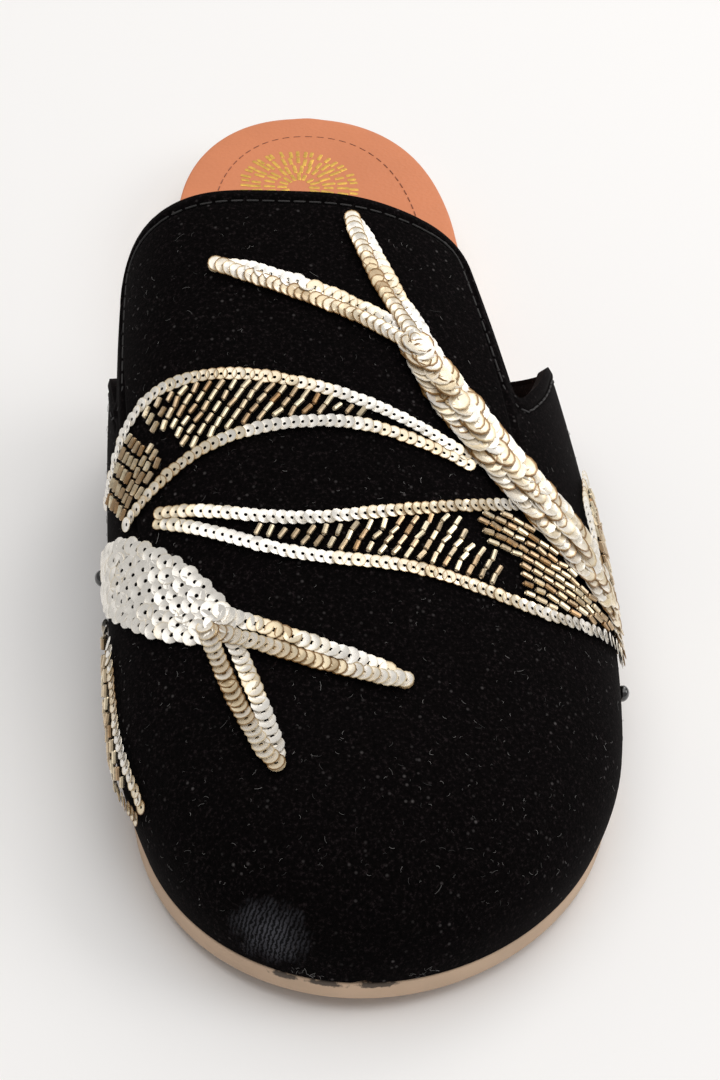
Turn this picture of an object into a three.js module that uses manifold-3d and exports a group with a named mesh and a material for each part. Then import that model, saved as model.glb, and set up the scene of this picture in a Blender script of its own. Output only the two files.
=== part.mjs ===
// A backless mule for the left foot: a velvet upper with two beaded birds, a leather insole and a low-heeled sole.
// Millimetres, +Z up. The toe points to -Y and the big-toe (medial) side is -X.
// The origin is on the floor, under the middle of the shoe's box.
import * as THREE from "three";
import { mergeVertices } from "three/addons/utils/BufferGeometryUtils.js";
import Module from "manifold-3d";

const wasm = await Module();
wasm.setup();

// Driving dimensions
const LENGTH = 246;
const BALL_WIDTH = 87;
const INSTEP_HEIGHT = 64; // top of the collar above the floor
const HEEL_SEAT_HEIGHT = 12; // top of the insole at the heel
const SOLE_THICKNESS = 4.5;
const SOLE_EDGE_ROUND = 1;
const TOE_SPRING = 3;
const INSOLE_THICKNESS = 2;
const INSOLE_EDGE_ROUND = 0.6;
const UPPER_WALL = 2;
const GAP = 0.3; // between pieces that meet

// Places along the shoe, measured back from the toe tip
const SPRING_END = 62; // the sole lies flat on the floor from here to the arch
const ARCH_START = 110;
const ARCH_END = 195; // the insole is level from here to the heel
const HEEL_BREAST = 188; // front face of the heel
const HEEL_BREAST_SLOPE = 1.5;
const TOE_CAP_LENGTH = 46.5; // length of the rounded toe in plan
const TOE_CAP_POWER = 2;
const HEEL_CAP_LENGTH = 42;
const HEEL_CAP_POWER = 2.2;
const TOE_DOME_LENGTH = 36; // the vamp climbs to its full height over this length
const TOE_DOME_POWER = 2.3;
const LOFT_END = 168; // the vamp's form runs on to here before it is cut

// Topline seen from the side: along is measured back from the toe tip, up from the floor. It crosses the instep
// straight, turns down through a bend to a shoulder on each side, and runs on as [along, up] places to the notch and
// on to the corner of the wing.
const COLLAR = { along: 146.5, corner: 59 };
const TOPLINE = {
  medial: { bend: 50, shoulder: [139, 46.5], notch: [111, 39.5], wing: [122, 37.5] },
  lateral: { bend: 54, shoulder: [141, 52], notch: [111, 43.3], wing: [133, 34] },
};
const NOTCH_RADIUS = 3;
const WING_RADIUS = 3;
const WING_END = { along: 160, up: 6 };
const CUTTER_TOP = 100;
const CUTTER_BACK = 260;
const CUTTER_REACH = 80; // from the axis out past either side
const CUTTER_OVERLAP = 1; // of the two sides' cutters across the axis

// Half-widths of the sole either side of its axis, as shares of the ball width; at is a share of the length
const OUTLINE = [
  { at: 0.0, medial: 0.466, lateral: 0.489 },
  { at: 0.12, medial: 0.448, lateral: 0.529 },
  { at: 0.22, medial: 0.444, lateral: 0.556 },
  { at: 0.34, medial: 0.437, lateral: 0.564 },
  { at: 0.46, medial: 0.416, lateral: 0.53 },
  { at: 0.58, medial: 0.386, lateral: 0.476 },
  { at: 0.7, medial: 0.351, lateral: 0.397 },
  { at: 0.87, medial: 0.347, lateral: 0.347 },
  { at: 1.0, medial: 0.347, lateral: 0.347 },
];

// Sections of the vamp: crown is the ridge's height as a share of the instep height; lean moves the ridge to
// the medial side and flare swells the wall outside the sole, both as shares of the ball width; shoulder is the
// power of the dome's curve; taper draws the wall in as it climbs
const VAMP = [
  { at: 0.0, crown: 0.469, lean: 0.0, flare: 0.011, shoulder: 2.5, taper: 0.0 },
  { at: 0.12, crown: 0.523, lean: 0.011, flare: 0.025, shoulder: 2.5, taper: 0.02 },
  { at: 0.22, crown: 0.617, lean: 0.034, flare: 0.053, shoulder: 2.6, taper: 0.04 },
  { at: 0.34, crown: 0.758, lean: 0.069, flare: 0.058, shoulder: 2.8, taper: 0.08 },
  { at: 0.46, crown: 0.891, lean: 0.109, flare: 0.068, shoulder: 3.2, taper: 0.12 },
  { at: 0.58, crown: 1.0, lean: 0.138, flare: 0.075, shoulder: 3.6, taper: 0.16 },
  { at: 0.7, crown: 1.09, lean: 0.149, flare: 0.075, shoulder: 3.6, taper: 0.16 },
];
const LEAN_POWER = 1.5; // the lean grows with height

// Embroidery: a place on the vamp is [along, around], millimetres back from the toe tip and millimetres around
// from the ridge, medial negative. A body or tail has a route and its widths there; a wing fills between two edges.
const EMBROIDERY_LIFT = 0.4; // off the velvet's facets
const BODY_THICKNESS = 1.5;
const TAIL_THICKNESS = 1.3;
const WING_THICKNESS = 1.2;
const EYE_RADIUS = 1.6;
const BODY_CLEARANCE = 0.4; // from a wing to the body beside it
const ROOM_DEPTH = 2; // the room that a body takes out of a wing reaches this far above and below it
const BIRDS = {
  medial_bird: {
    body: { route: [[54.7, -21], [61, -28], [68, -35], [76, -43], [84, -52]], widths: [8, 13.5, 14.5, 13, 6] },
    tails: [
      { route: [[56, -22], [49, -6.5], [43.5, 9.7]], widths: [6, 5.5, 4.5] },
      { route: [[56, -22], [41.3, -18.1], [27.9, -14]], widths: [6, 6, 4.5] },
    ],
    inner_wing: {
      outer: [[94, -46], [103.5, -34], [105.2, -21], [101.5, 1.5], [91, 29.5]],
      inner: [[83, -38], [88.5, -25], [92.5, -11], [94, 7], [89.5, 28.5]],
    },
    outer_wing: {
      outer: [[64, -46], [47, -45], [30, -41.5]],
      inner: [[76, -56], [50, -56], [30, -44.5]],
    },
    eye: [86.5, -56],
  },
  lateral_bird: {
    body: { route: [[113.4, 23], [103.7, 31], [92.5, 42], [84.6, 54], [72, 69]], widths: [6, 8.5, 9.5, 10, 6] },
    tails: [
      { route: [[112, 24.5], [126.1, 18], [140.1, 13.2]], widths: [5, 5, 4] },
      { route: [[112, 24.5], [121, 6], [128.4, -13.4]], widths: [5, 5, 4] },
    ],
    inner_wing: {
      outer: [[80.6, -30], [74.7, -9], [76.5, 11], [82, 31], [88, 45]],
      inner: [[78.8, -30.5], [68.5, -9], [65.9, 15], [63.4, 40], [69, 64]],
    },
    outer_wing: {
      outer: [[84, 61], [96, 60], [108, 66]],
      inner: [[73, 73], [88, 76], [108, 69]],
    },
    eye: [67.5, 72],
  },
};

// Facets
const TOE_STATIONS = 12;
const WAIST_STATIONS = 22;
const HEEL_STATIONS = 10;
const VAMP_TOE_STATIONS = 12;
const VAMP_BACK_STATIONS = 18;
const RING_STEPS = 34; // around a vamp section
const BAND_STEPS = 14; // along an embroidered body or tail
const WING_STEPS = 20; // along a wing
const PATCH_LANE = 4; // width of a facet across either
const TIP_ANGLE = 0.07; // radians from the very tip of a rounded end to its first section
const INNER_FORM_DEPTH = 9; // the hollow is carried this far below the upper so that it opens underneath
const NORMAL_STEP = 0.5; // millimetres between the places that a surface normal is taken from

// A column of a table at a share of the length, as a smooth curve through its rows
function column(table, name, at) {
  const last = table.length - 1;
  let row = 0;
  while (row < last - 1 && at > table[row + 1].at) row += 1;
  const slope = (i) => {
    const before = table[Math.max(i - 1, 0)];
    const after = table[Math.min(i + 1, last)];
    return (after[name] - before[name]) / (after.at - before.at);
  };
  const span = table[row + 1].at - table[row].at;
  const t = THREE.MathUtils.clamp((at - table[row].at) / span, 0, 1);
  const rise = table[row + 1][name] - table[row][name];
  const swing = (1 - t) * slope(row) * span - t * slope(row + 1) * span + (2 * t - 1) * rise;
  return table[row][name] + t * rise + t * (1 - t) * swing;
}

// Share of full width or height at a distance into a rounded end
function roundedEnd(distance, length, power) {
  const left = 1 - THREE.MathUtils.clamp(distance / length, 0, 1);
  return (1 - left ** power) ** (1 / power);
}

// Height of the top of the sole
function soleTop(along) {
  const spring = TOE_SPRING * Math.max(0, 1 - along / SPRING_END) ** 2;
  const heelRise = HEEL_SEAT_HEIGHT - INSOLE_THICKNESS - GAP - SOLE_THICKNESS;
  return SOLE_THICKNESS + spring + heelRise * THREE.MathUtils.smoothstep(along, ARCH_START, ARCH_END);
}

// Height of the underside of the sole: parallel to the top up to the heel, which reaches the floor
function soleBottom(along) {
  const heel = THREE.MathUtils.clamp((along - HEEL_BREAST) / HEEL_BREAST_SLOPE, 0, 1);
  return (soleTop(along) - SOLE_THICKNESS) * (1 - heel);
}

// Distance from the axis to the sole's edge on one side, drawn in by inset all round
function halfWidth(side, along, inset) {
  const toe = roundedEnd(along - inset, TOE_CAP_LENGTH - inset, TOE_CAP_POWER);
  const heel = roundedEnd(LENGTH - inset - along, HEEL_CAP_LENGTH - inset, HEEL_CAP_POWER);
  return (column(OUTLINE, side, along / LENGTH) * BALL_WIDTH - inset) * toe * heel;
}

// One section across the vamp, from the medial edge of the sole over the ridge to the lateral edge
class VampSection extends THREE.Curve {
  constructor(along, inset) {
    super();
    const at = along / LENGTH;
    const toe = roundedEnd(along - inset, TOE_CAP_LENGTH - inset, TOE_CAP_POWER);
    const dome = roundedEnd(along - inset, TOE_DOME_LENGTH - inset, TOE_DOME_POWER);
    const medial = halfWidth("medial", along, inset);
    const lateral = halfWidth("lateral", along, inset);
    this.along = along;
    this.foot = soleTop(along) + GAP;
    this.rise = (column(VAMP, "crown", at) * INSTEP_HEIGHT - this.foot - inset) * dome;
    this.middle = (lateral - medial) / 2;
    this.half = (lateral + medial) / 2;
    this.ridge = -column(VAMP, "lean", at) * BALL_WIDTH * toe;
    this.flare = column(VAMP, "flare", at) * BALL_WIDTH * toe;
    this.power = 2 / column(VAMP, "shoulder", at);
    this.taper = column(VAMP, "taper", at);
  }

  getPoint(t, target = new THREE.Vector3()) {
    const side = t < 0.5 ? -1 : 1;
    const angle = (1 - Math.abs(2 * t - 1)) * (Math.PI / 2);
    const up = Math.sin(angle) ** this.power;
    const out = Math.max(0, Math.cos(angle)) ** this.power;
    const swell = this.flare * 4 * up * (1 - up);
    const reach = (this.half * (1 - this.taper * up ** 2) + swell) * out;
    const centre = this.middle + (this.ridge - this.middle) * up ** LEAN_POWER;
    return target.set(centre + side * reach, this.along, this.foot + this.rise * up);
  }
}

// The point on the vamp's outer surface at a place [along, around], lifted off it by lift
function onVamp([along, around], lift) {
  const point = (back, round) => {
    const section = new VampSection(back, 0);
    const lengths = section.getLengths();
    const ridge = lengths[(lengths.length - 1) / 2];
    return section.getPointAt((ridge + round) / section.getLength());
  };
  const here = point(along, around);
  const back = point(along + NORMAL_STEP, around).sub(here);
  const round = point(along, around + NORMAL_STEP).sub(here);
  return here.addScaledVector(round.cross(back).normalize(), lift);
}

// A closed mesh through rings of points, each ring a closed loop with the same count of points.
// The first and last rings are filled by rungs from one half of the loop to the other.
function loft(rings) {
  const count = rings[0].length;
  const index = [];
  for (let r = 0; r < rings.length - 1; r += 1) {
    for (let i = 0; i < count; i += 1) {
      const a = r * count + i;
      const b = r * count + ((i + 1) % count);
      index.push(a, b, b + count, a, b + count, a + count);
    }
  }
  const start = (rings.length - 1) * count;
  for (let i = 0; 2 * i <= count - 3; i += 1) {
    const a = i;
    const b = i + 1;
    const c = count - 2 - i;
    const d = count - 1 - i;
    index.push(a, d, c, start + a, start + c, start + d);
    if (b < c) index.push(a, c, b, start + a, start + b, start + c);
  }
  return new THREE.BufferGeometry().setFromPoints(rings.flat()).setIndex(index);
}

// A closed three.js geometry as a solid that can be joined and cut
function toSolid(geometry) {
  const bare = geometry.clone().deleteAttribute("normal").deleteAttribute("uv");
  const merged = mergeVertices(bare);
  return new wasm.Manifold(
    new wasm.Mesh({
      numProp: 3,
      vertProperties: new Float32Array(merged.attributes.position.array),
      triVerts: new Uint32Array(merged.index.array),
    }),
  );
}

function toGeometry(solid) {
  const mesh = solid.getMesh();
  return new THREE.BufferGeometry()
    .setAttribute("position", new THREE.BufferAttribute(mesh.vertProperties, 3))
    .setIndex(new THREE.BufferAttribute(mesh.triVerts, 1));
}

// Stations from the toe to the heel, close together where the two ends are round
function soleStations() {
  const stations = [];
  for (let i = 0; i < TOE_STATIONS; i += 1) {
    const angle = THREE.MathUtils.lerp(TIP_ANGLE, Math.PI / 2, i / TOE_STATIONS);
    stations.push(TOE_CAP_LENGTH * (1 - Math.cos(angle)));
  }
  const heelStart = LENGTH - HEEL_CAP_LENGTH;
  for (let i = 0; i < WAIST_STATIONS; i += 1) {
    stations.push(THREE.MathUtils.lerp(TOE_CAP_LENGTH, heelStart, i / WAIST_STATIONS));
  }
  for (let i = 0; i <= HEEL_STATIONS; i += 1) {
    const angle = THREE.MathUtils.lerp(0, Math.PI / 2 - TIP_ANGLE, i / HEEL_STATIONS);
    stations.push(heelStart + HEEL_CAP_LENGTH * Math.sin(angle));
  }
  return stations;
}

// A flat piece in the outline of the sole, given as layers from its underside to its top.
// A layer's inset draws its edge in and its height follows the shoe.
function slab(stations, layers) {
  const edge = (side, layer, station) => {
    const nearToe = layer.inset(0);
    const nearHeel = layer.inset(LENGTH);
    const along = nearToe + (station / LENGTH) * (LENGTH - nearToe - nearHeel);
    const reach = halfWidth(side, along, layer.inset(along));
    return new THREE.Vector3(side === "medial" ? -reach : reach, along, layer.height(along));
  };
  return loft(
    stations.map((station) => [
      ...layers.map((layer) => edge("medial", layer, station)),
      ...layers.toReversed().map((layer) => edge("lateral", layer, station)),
    ]),
  );
}

function outsole() {
  const breast = [HEEL_BREAST, HEEL_BREAST + HEEL_BREAST_SLOPE];
  const stations = [...soleStations(), ...breast].sort((a, b) => a - b);
  return slab(stations, [
    { inset: () => SOLE_EDGE_ROUND, height: soleBottom },
    { inset: () => 0, height: (along) => soleBottom(along) + SOLE_EDGE_ROUND },
    { inset: () => 0, height: soleTop },
  ]);
}

// The insole lies inside the upper at the front and reaches the sole's edge behind the wings
function insole() {
  const front = UPPER_WALL + GAP;
  const behind = [WING_END.along + 1, WING_END.along + 12];
  const inset = (along) => front - (front - GAP) * THREE.MathUtils.smoothstep(along, ...behind);
  const top = (along) => soleTop(along) + GAP + INSOLE_THICKNESS;
  return slab(soleStations(), [
    { inset, height: (along) => soleTop(along) + GAP },
    { inset, height: (along) => top(along) - INSOLE_EDGE_ROUND },
    { inset: (along) => inset(along) + INSOLE_EDGE_ROUND, height: top },
  ]);
}

// The vamp's form as one filled solid, drawn in by inset and carried down by depth
function vampForm(inset, depth) {
  const stations = [];
  for (let i = 0; i < VAMP_TOE_STATIONS; i += 1) {
    const angle = THREE.MathUtils.lerp(TIP_ANGLE, Math.PI / 2, i / VAMP_TOE_STATIONS);
    stations.push(inset + (TOE_CAP_LENGTH - inset) * (1 - Math.cos(angle)));
  }
  for (let i = 0; i <= VAMP_BACK_STATIONS; i += 1) {
    stations.push(THREE.MathUtils.lerp(TOE_CAP_LENGTH, LOFT_END, i / VAMP_BACK_STATIONS));
  }
  return loft(
    stations.map((along) => {
      const ring = new VampSection(along, inset).getSpacedPoints(RING_STEPS);
      const down = new THREE.Vector3(0, 0, -depth);
      return depth ? [...ring, ring.at(-1).clone().add(down), ring[0].clone().add(down)] : ring;
    }),
  );
}

// Everything behind the topline on one side, as a bar out from the axis with the topline as its front
function toplineCutter(side) {
  const notch = new THREE.Vector2(...TOPLINE[side].notch);
  const corner = new THREE.Vector2(...TOPLINE[side].wing);
  const shoulder = new THREE.Vector2(...TOPLINE[side].shoulder);
  const end = new THREE.Vector2(WING_END.along, WING_END.up);
  const towards = (from, to, distance) => to.clone().sub(from).setLength(distance).add(from);
  const bend = (shape, at, from, to, radius) => {
    const start = towards(at, from, radius);
    const finish = towards(at, to, radius);
    shape.lineTo(start.x, start.y).quadraticCurveTo(at.x, at.y, finish.x, finish.y);
  };
  const shape = new THREE.Shape().moveTo(COLLAR.along, CUTTER_TOP).lineTo(COLLAR.along, COLLAR.corner);
  shape.quadraticCurveTo(COLLAR.along, TOPLINE[side].bend, shoulder.x, shoulder.y);
  bend(shape, notch, shoulder, corner, NOTCH_RADIUS);
  bend(shape, corner, notch, end, WING_RADIUS);
  shape.lineTo(end.x, end.y).lineTo(end.x, -end.y);
  shape.lineTo(CUTTER_BACK, -end.y).lineTo(CUTTER_BACK, CUTTER_TOP).closePath();
  const bar = new THREE.ExtrudeGeometry(shape, {
    depth: CUTTER_REACH + CUTTER_OVERLAP,
    bevelEnabled: false,
    curveSegments: 5,
  });
  const sideways = new THREE.Matrix4().makeBasis(
    new THREE.Vector3(0, 1, 0),
    new THREE.Vector3(0, 0, 1),
    new THREE.Vector3(1, 0, 0),
  );
  return bar.applyMatrix4(sideways).translate(side === "medial" ? -CUTTER_REACH : -CUTTER_OVERLAP, 0, 0);
}

function upper() {
  const outside = toSolid(vampForm(0, 0));
  const inside = toSolid(vampForm(UPPER_WALL, INNER_FORM_DEPTH));
  const cutters = ["medial", "lateral"].map((side) => toSolid(toplineCutter(side)));
  return toGeometry(cutters.reduce((left, cutter) => left.subtract(cutter), outside.subtract(inside)));
}

// A patch of embroidery between two edges, each a curve of places on the vamp
function patch(oneEdge, otherEdge, steps, lift, thickness) {
  const rings = [];
  const breadths = [0, 0.5, 1].map((t) => oneEdge(t).distanceTo(otherEdge(t)));
  const lanes = Math.max(2, Math.ceil(Math.max(...breadths) / PATCH_LANE));
  for (let i = 0; i <= steps; i += 1) {
    const a = oneEdge(i / steps);
    const b = otherEdge(i / steps);
    const ring = [];
    for (let j = 0; j <= lanes; j += 1) {
      const place = a.clone().lerp(b, j / lanes).toArray();
      ring.push({ low: onVamp(place, lift), high: onVamp(place, lift + thickness) });
    }
    rings.push([...ring.map((p) => p.high), ...ring.toReversed().map((p) => p.low)]);
  }
  const solid = toSolid(loft(rings));
  return solid.volume() > 0 ? solid : toSolid(loft(rings.toReversed()));
}

const spline = (places) => new THREE.SplineCurve(places.map((place) => new THREE.Vector2(...place)));

// A band along a route, as wide as its widths there plus extra on each side
function band({ route, widths }, extra, lift, thickness) {
  const line = spline(route);
  const width = spline(widths.map((w, i) => [i, w]));
  const edge = (sign) => (t) => {
    const ahead = line.getTangent(t);
    const aside = new THREE.Vector2(-ahead.y, ahead.x);
    return line.getPoint(t).addScaledVector(aside, sign * (width.getPoint(t).y / 2 + extra));
  };
  return patch(edge(1), edge(-1), BAND_STEPS, lift, thickness);
}

function wing({ outer, inner }, body) {
  const one = spline(outer);
  const other = spline(inner);
  const edges = [(t) => one.getPoint(t), (t) => other.getPoint(t)];
  const filled = patch(...edges, WING_STEPS, EMBROIDERY_LIFT, WING_THICKNESS);
  const room = band(body, BODY_CLEARANCE, -ROOM_DEPTH, BODY_THICKNESS + 2 * ROOM_DEPTH);
  return toGeometry(filled.subtract(room));
}

function birdBody({ body, tails }) {
  const solids = tails.map((tail) => band(tail, 0, EMBROIDERY_LIFT, TAIL_THICKNESS));
  return toGeometry(solids.reduce((sum, tail) => sum.add(tail), band(body, 0, EMBROIDERY_LIFT, BODY_THICKNESS)));
}

function birdEye({ eye }) {
  const { x, y, z } = onVamp(eye, EMBROIDERY_LIFT + EYE_RADIUS);
  return new THREE.SphereGeometry(EYE_RADIUS, 12, 8).translate(x, y, z);
}

const FINISH = {
  velvet: { color: 0x0d0c0d, roughness: 0.95, metalness: 0 },
  insoleLeather: { color: 0xc9764c, roughness: 0.55, metalness: 0 },
  soleEdge: { color: 0xb59c84, roughness: 0.7, metalness: 0 },
  sequins: { color: 0xe2d6bd, roughness: 0.25, metalness: 0.6 },
  beads: { color: 0xa88a5c, roughness: 0.3, metalness: 0.7 },
  jet: { color: 0x070707, roughness: 0.1, metalness: 0 },
};

const shoe = new THREE.Group();

function addPiece(name, geometry, finish) {
  const piece = new THREE.Mesh(geometry, new THREE.MeshStandardMaterial(FINISH[finish]));
  piece.name = name;
  shoe.add(piece);
}

addPiece("outsole", outsole(), "soleEdge");
addPiece("insole", insole(), "insoleLeather");
addPiece("upper", upper(), "velvet");
for (const [name, bird] of Object.entries(BIRDS)) {
  addPiece(`${name}_body`, birdBody(bird), "sequins");
  addPiece(`${name}_inner_wing`, wing(bird.inner_wing, bird.body), "beads");
  addPiece(`${name}_outer_wing`, wing(bird.outer_wing, bird.body), "beads");
  addPiece(`${name}_eye`, birdEye(bird), "jet");
}

const box = new THREE.Box3().setFromObject(shoe);
const middle = box.getCenter(new THREE.Vector3());
shoe.position.set(-middle.x, -middle.y, -box.min.z);

const mule = new THREE.Group();
mule.add(shoe);

export default mule;
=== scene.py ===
"""A backless velvet mule for the left foot, with two sequinned and beaded birds across its vamp.

Laid out as an add-on: sizes and colours are properties, each piece has its operator, and main() runs them
in order. Lengths in the tables are millimetres. A place on the vamp is (along, around): back from the toe
tip, and round from the ridge with the medial side negative. The toe points to -Y, the medial side to -X.
"""

import math

import bpy
import numpy as np
from bpy.props import FloatProperty, FloatVectorProperty, IntProperty, PointerProperty
from mathutils import Matrix, Vector


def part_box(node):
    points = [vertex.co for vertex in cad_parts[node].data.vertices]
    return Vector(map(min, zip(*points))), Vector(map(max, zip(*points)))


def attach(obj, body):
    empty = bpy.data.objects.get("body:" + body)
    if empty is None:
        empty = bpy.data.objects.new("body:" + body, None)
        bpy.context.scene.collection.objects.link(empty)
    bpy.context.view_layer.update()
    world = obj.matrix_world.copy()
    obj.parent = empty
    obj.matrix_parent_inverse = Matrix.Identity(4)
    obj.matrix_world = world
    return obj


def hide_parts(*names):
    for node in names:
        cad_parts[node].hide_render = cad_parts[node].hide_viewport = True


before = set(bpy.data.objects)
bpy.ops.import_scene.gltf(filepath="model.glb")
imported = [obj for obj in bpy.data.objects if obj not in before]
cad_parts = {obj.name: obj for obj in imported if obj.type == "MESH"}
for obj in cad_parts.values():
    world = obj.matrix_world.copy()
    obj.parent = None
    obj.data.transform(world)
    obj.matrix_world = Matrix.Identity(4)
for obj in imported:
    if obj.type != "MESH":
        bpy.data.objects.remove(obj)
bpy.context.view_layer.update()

bl_info = {
    "name": "Beaded velvet mule",
    "version": (1, 0, 0),
    "blender": (4, 5, 0),
    "location": "View3D > Sidebar > Mule",
    "description": "Builds the velvet, leather, sequins and beads of a backless mule over its packed solids",
    "category": "Object",
}

MM = 0.001
BODY = "root"

# The last, with the same values as the solids
LENGTH = 246.0
BALL_WIDTH = 87.0
INSTEP_HEIGHT = 64.0
HEEL_SEAT_HEIGHT = 12.0
SOLE_THICKNESS = 4.5
SOLE_EDGE_ROUND = 1.0
TOE_SPRING = 3.0
INSOLE_THICKNESS = 2.0
INSOLE_EDGE_ROUND = 0.6
GAP = 0.3
SPRING_END = 62.0
ARCH_START = 110.0
ARCH_END = 195.0
HEEL_BREAST = 188.0
HEEL_BREAST_SLOPE = 1.5
TOE_CAP_LENGTH = 46.5
TOE_CAP_POWER = 2.0
HEEL_CAP_LENGTH = 42.0
HEEL_CAP_POWER = 2.2
TOE_DOME_LENGTH = 36.0
TOE_DOME_POWER = 2.3
LOFT_END = 168.0
LEAN_POWER = 1.5
OUTLINE = {
    "at": (0.0, 0.12, 0.22, 0.34, 0.46, 0.58, 0.7, 0.87, 1.0),
    "medial": (0.466, 0.448, 0.444, 0.437, 0.416, 0.386, 0.351, 0.347, 0.347),
    "lateral": (0.489, 0.529, 0.556, 0.564, 0.53, 0.476, 0.397, 0.347, 0.347),
}
VAMP = {
    "at": (0.0, 0.12, 0.22, 0.34, 0.46, 0.58, 0.7),
    "crown": (0.469, 0.523, 0.617, 0.758, 0.891, 1.0, 1.09),
    "lean": (0.0, 0.011, 0.034, 0.069, 0.109, 0.138, 0.149),
    "flare": (0.011, 0.025, 0.053, 0.058, 0.068, 0.075, 0.075),
    "shoulder": (2.5, 2.5, 2.6, 2.8, 3.2, 3.6, 3.6),
    "taper": (0.0, 0.02, 0.04, 0.08, 0.12, 0.16, 0.16),
}
# Topline seen from the side, as (along, up) points with a bend's reach where it turns
COLLAR_TOP = (146.5, 100.0)
COLLAR_CORNER = (146.5, 59.0)
COLLAR_BEND = {-1: (146.5, 50.0), 1: (146.5, 54.0)}
SHOULDER = {-1: (139.0, 46.5), 1: (141.0, 52.0)}
NOTCH = {-1: (111.0, 39.5), 1: (111.0, 43.3)}
NOTCH_REACH = 3.0
WING_CORNER = {-1: (122.0, 37.5), 1: (133.0, 34.0)}
WING_CORNER_REACH = 4.5
WING_END = (160.0, 6.0)

# The birds, on the places of the solids, with sequins spread a little over the edges. A wing is its heel-side
# edge and its toe-side edge, both from the body out. scale is the body's sequins as a share of the large
# sequin, and stacked ones lie close in columns. pale_row is the side of a tail's paler row, and gilding is
# how far the other row goes to gold, with its rims darkened into painted shade between the sequins.
BIRDS = {
    "medial_bird": {
        "body": ((54.7, -21), (61, -28), (68, -35), (76, -43), (84, -52)),
        "body_widths": (8, 13.5, 14.5, 13, 6),
        "scale": 0.62,
        "stacked": False,
        "pale_row": -1,
        "gilding_and_gap_shade": 0.5,
        "tails": (
            (((56, -22), (49, -6.5), (43.5, 9.7)), (7, 6.6, 5)),
            (((56, -22), (41.3, -18.1), (27.9, -14)), (7, 7, 5)),
        ),
        "inner_wing": (
            ((94, -46), (103.5, -34), (105.2, -21), (101.5, 1.5), (91, 29.5)),
            ((83, -38), (88.5, -25), (92.5, -11), (94, 7), (89.5, 28.5)),
        ),
        "outer_wing": (
            ((64, -46), (47, -45), (30, -41.5)),
            ((76, -56), (50, -56), (30, -44.5)),
        ),
        "eye": (86.5, -56),
    },
    "lateral_bird": {
        "body": ((113, 21.8), (102, 28.6), (90.6, 39.4), (82.6, 52), (71.5, 68.5)),
        "body_widths": (8, 11.5, 13, 14, 8),
        "scale": 1.0,
        "stacked": True,
        "pale_row": 1,
        "gilding_and_gap_shade": 0.8,
        "tails": (
            (((112, 24.5), (126.1, 18), (140.1, 13.2)), (6, 6, 4.6)),
            (((112, 24.5), (121, 6), (128.4, -13.4)), (6, 6, 4.6)),
        ),
        "inner_wing": (
            ((88, 45), (82, 31), (76.5, 11), (74.7, -9), (80.6, -30)),
            ((69, 64), (63.4, 40), (65.9, 15), (68.5, -9), (78.8, -30.5)),
        ),
        "outer_wing": (
            ((84, 61), (96, 60), (108, 66)),
            ((73, 73), (88, 76), (108, 69)),
        ),
        "eye": (67.5, 72),
    },
}


def smooth_column(table, name, at):
    """A column of a table at shares of the length, as a smooth curve through its rows."""
    places = np.array(table["at"])
    values = np.array(table[name])
    slopes = np.empty_like(values)
    slopes[1:-1] = (values[2:] - values[:-2]) / (places[2:] - places[:-2])
    slopes[0] = (values[1] - values[0]) / (places[1] - places[0])
    slopes[-1] = (values[-1] - values[-2]) / (places[-1] - places[-2])
    row = np.clip(np.searchsorted(places, at) - 1, 0, len(places) - 2)
    span = places[row + 1] - places[row]
    t = np.clip((at - places[row]) / span, 0, 1)
    rise = values[row + 1] - values[row]
    swing = (1 - t) * slopes[row] * span - t * slopes[row + 1] * span + (2 * t - 1) * rise
    return values[row] + t * rise + t * (1 - t) * swing


def rounded_end(distance, length, power):
    """Share of full width or height at a distance into a rounded end."""
    left = 1 - np.clip(distance / length, 0, 1)
    return np.maximum(1 - left**power, 0) ** (1 / power)


def smoothstep(value, low, high):
    t = np.clip((value - low) / (high - low), 0, 1)
    return t * t * (3 - 2 * t)


def sole_top(along):
    spring = TOE_SPRING * np.maximum(0, 1 - along / SPRING_END) ** 2
    heel_rise = HEEL_SEAT_HEIGHT - INSOLE_THICKNESS - GAP - SOLE_THICKNESS
    return SOLE_THICKNESS + spring + heel_rise * smoothstep(along, ARCH_START, ARCH_END)


def sole_bottom(along):
    heel = np.clip((along - HEEL_BREAST) / HEEL_BREAST_SLOPE, 0, 1)
    return (sole_top(along) - SOLE_THICKNESS) * (1 - heel)


def half_width(side, along, inset=0.0):
    """Distance from the axis to the sole's edge on one side, drawn in by inset all round."""
    toe = rounded_end(along - inset, TOE_CAP_LENGTH - inset, TOE_CAP_POWER)
    heel = rounded_end(LENGTH - inset - along, HEEL_CAP_LENGTH - inset, HEEL_CAP_POWER)
    return (smooth_column(OUTLINE, side, along / LENGTH) * BALL_WIDTH - inset) * toe * heel


def section_point(along, side, angle):
    """Points of the vamp's sections; angle is 0 at the sole's edge and a quarter turn at the ridge."""
    at = along / LENGTH
    toe = rounded_end(along, TOE_CAP_LENGTH, TOE_CAP_POWER)
    dome = rounded_end(along, TOE_DOME_LENGTH, TOE_DOME_POWER)
    medial = half_width("medial", along)
    lateral = half_width("lateral", along)
    foot = sole_top(along) + GAP
    rise = (smooth_column(VAMP, "crown", at) * INSTEP_HEIGHT - foot) * dome
    middle = (lateral - medial) / 2
    half = (lateral + medial) / 2
    ridge = -smooth_column(VAMP, "lean", at) * BALL_WIDTH * toe
    flare = smooth_column(VAMP, "flare", at) * BALL_WIDTH * toe
    power = 2 / smooth_column(VAMP, "shoulder", at)
    up = np.sin(angle) ** power
    out = np.maximum(np.cos(angle), 0) ** power
    taper = smooth_column(VAMP, "taper", at)
    reach = (half * (1 - taper * up**2) + flare * 4 * up * (1 - up)) * out
    centre = middle + (ridge - middle) * up**LEAN_POWER
    return np.stack(np.broadcast_arrays(centre + side * reach, along, foot + rise * up), -1)


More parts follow.
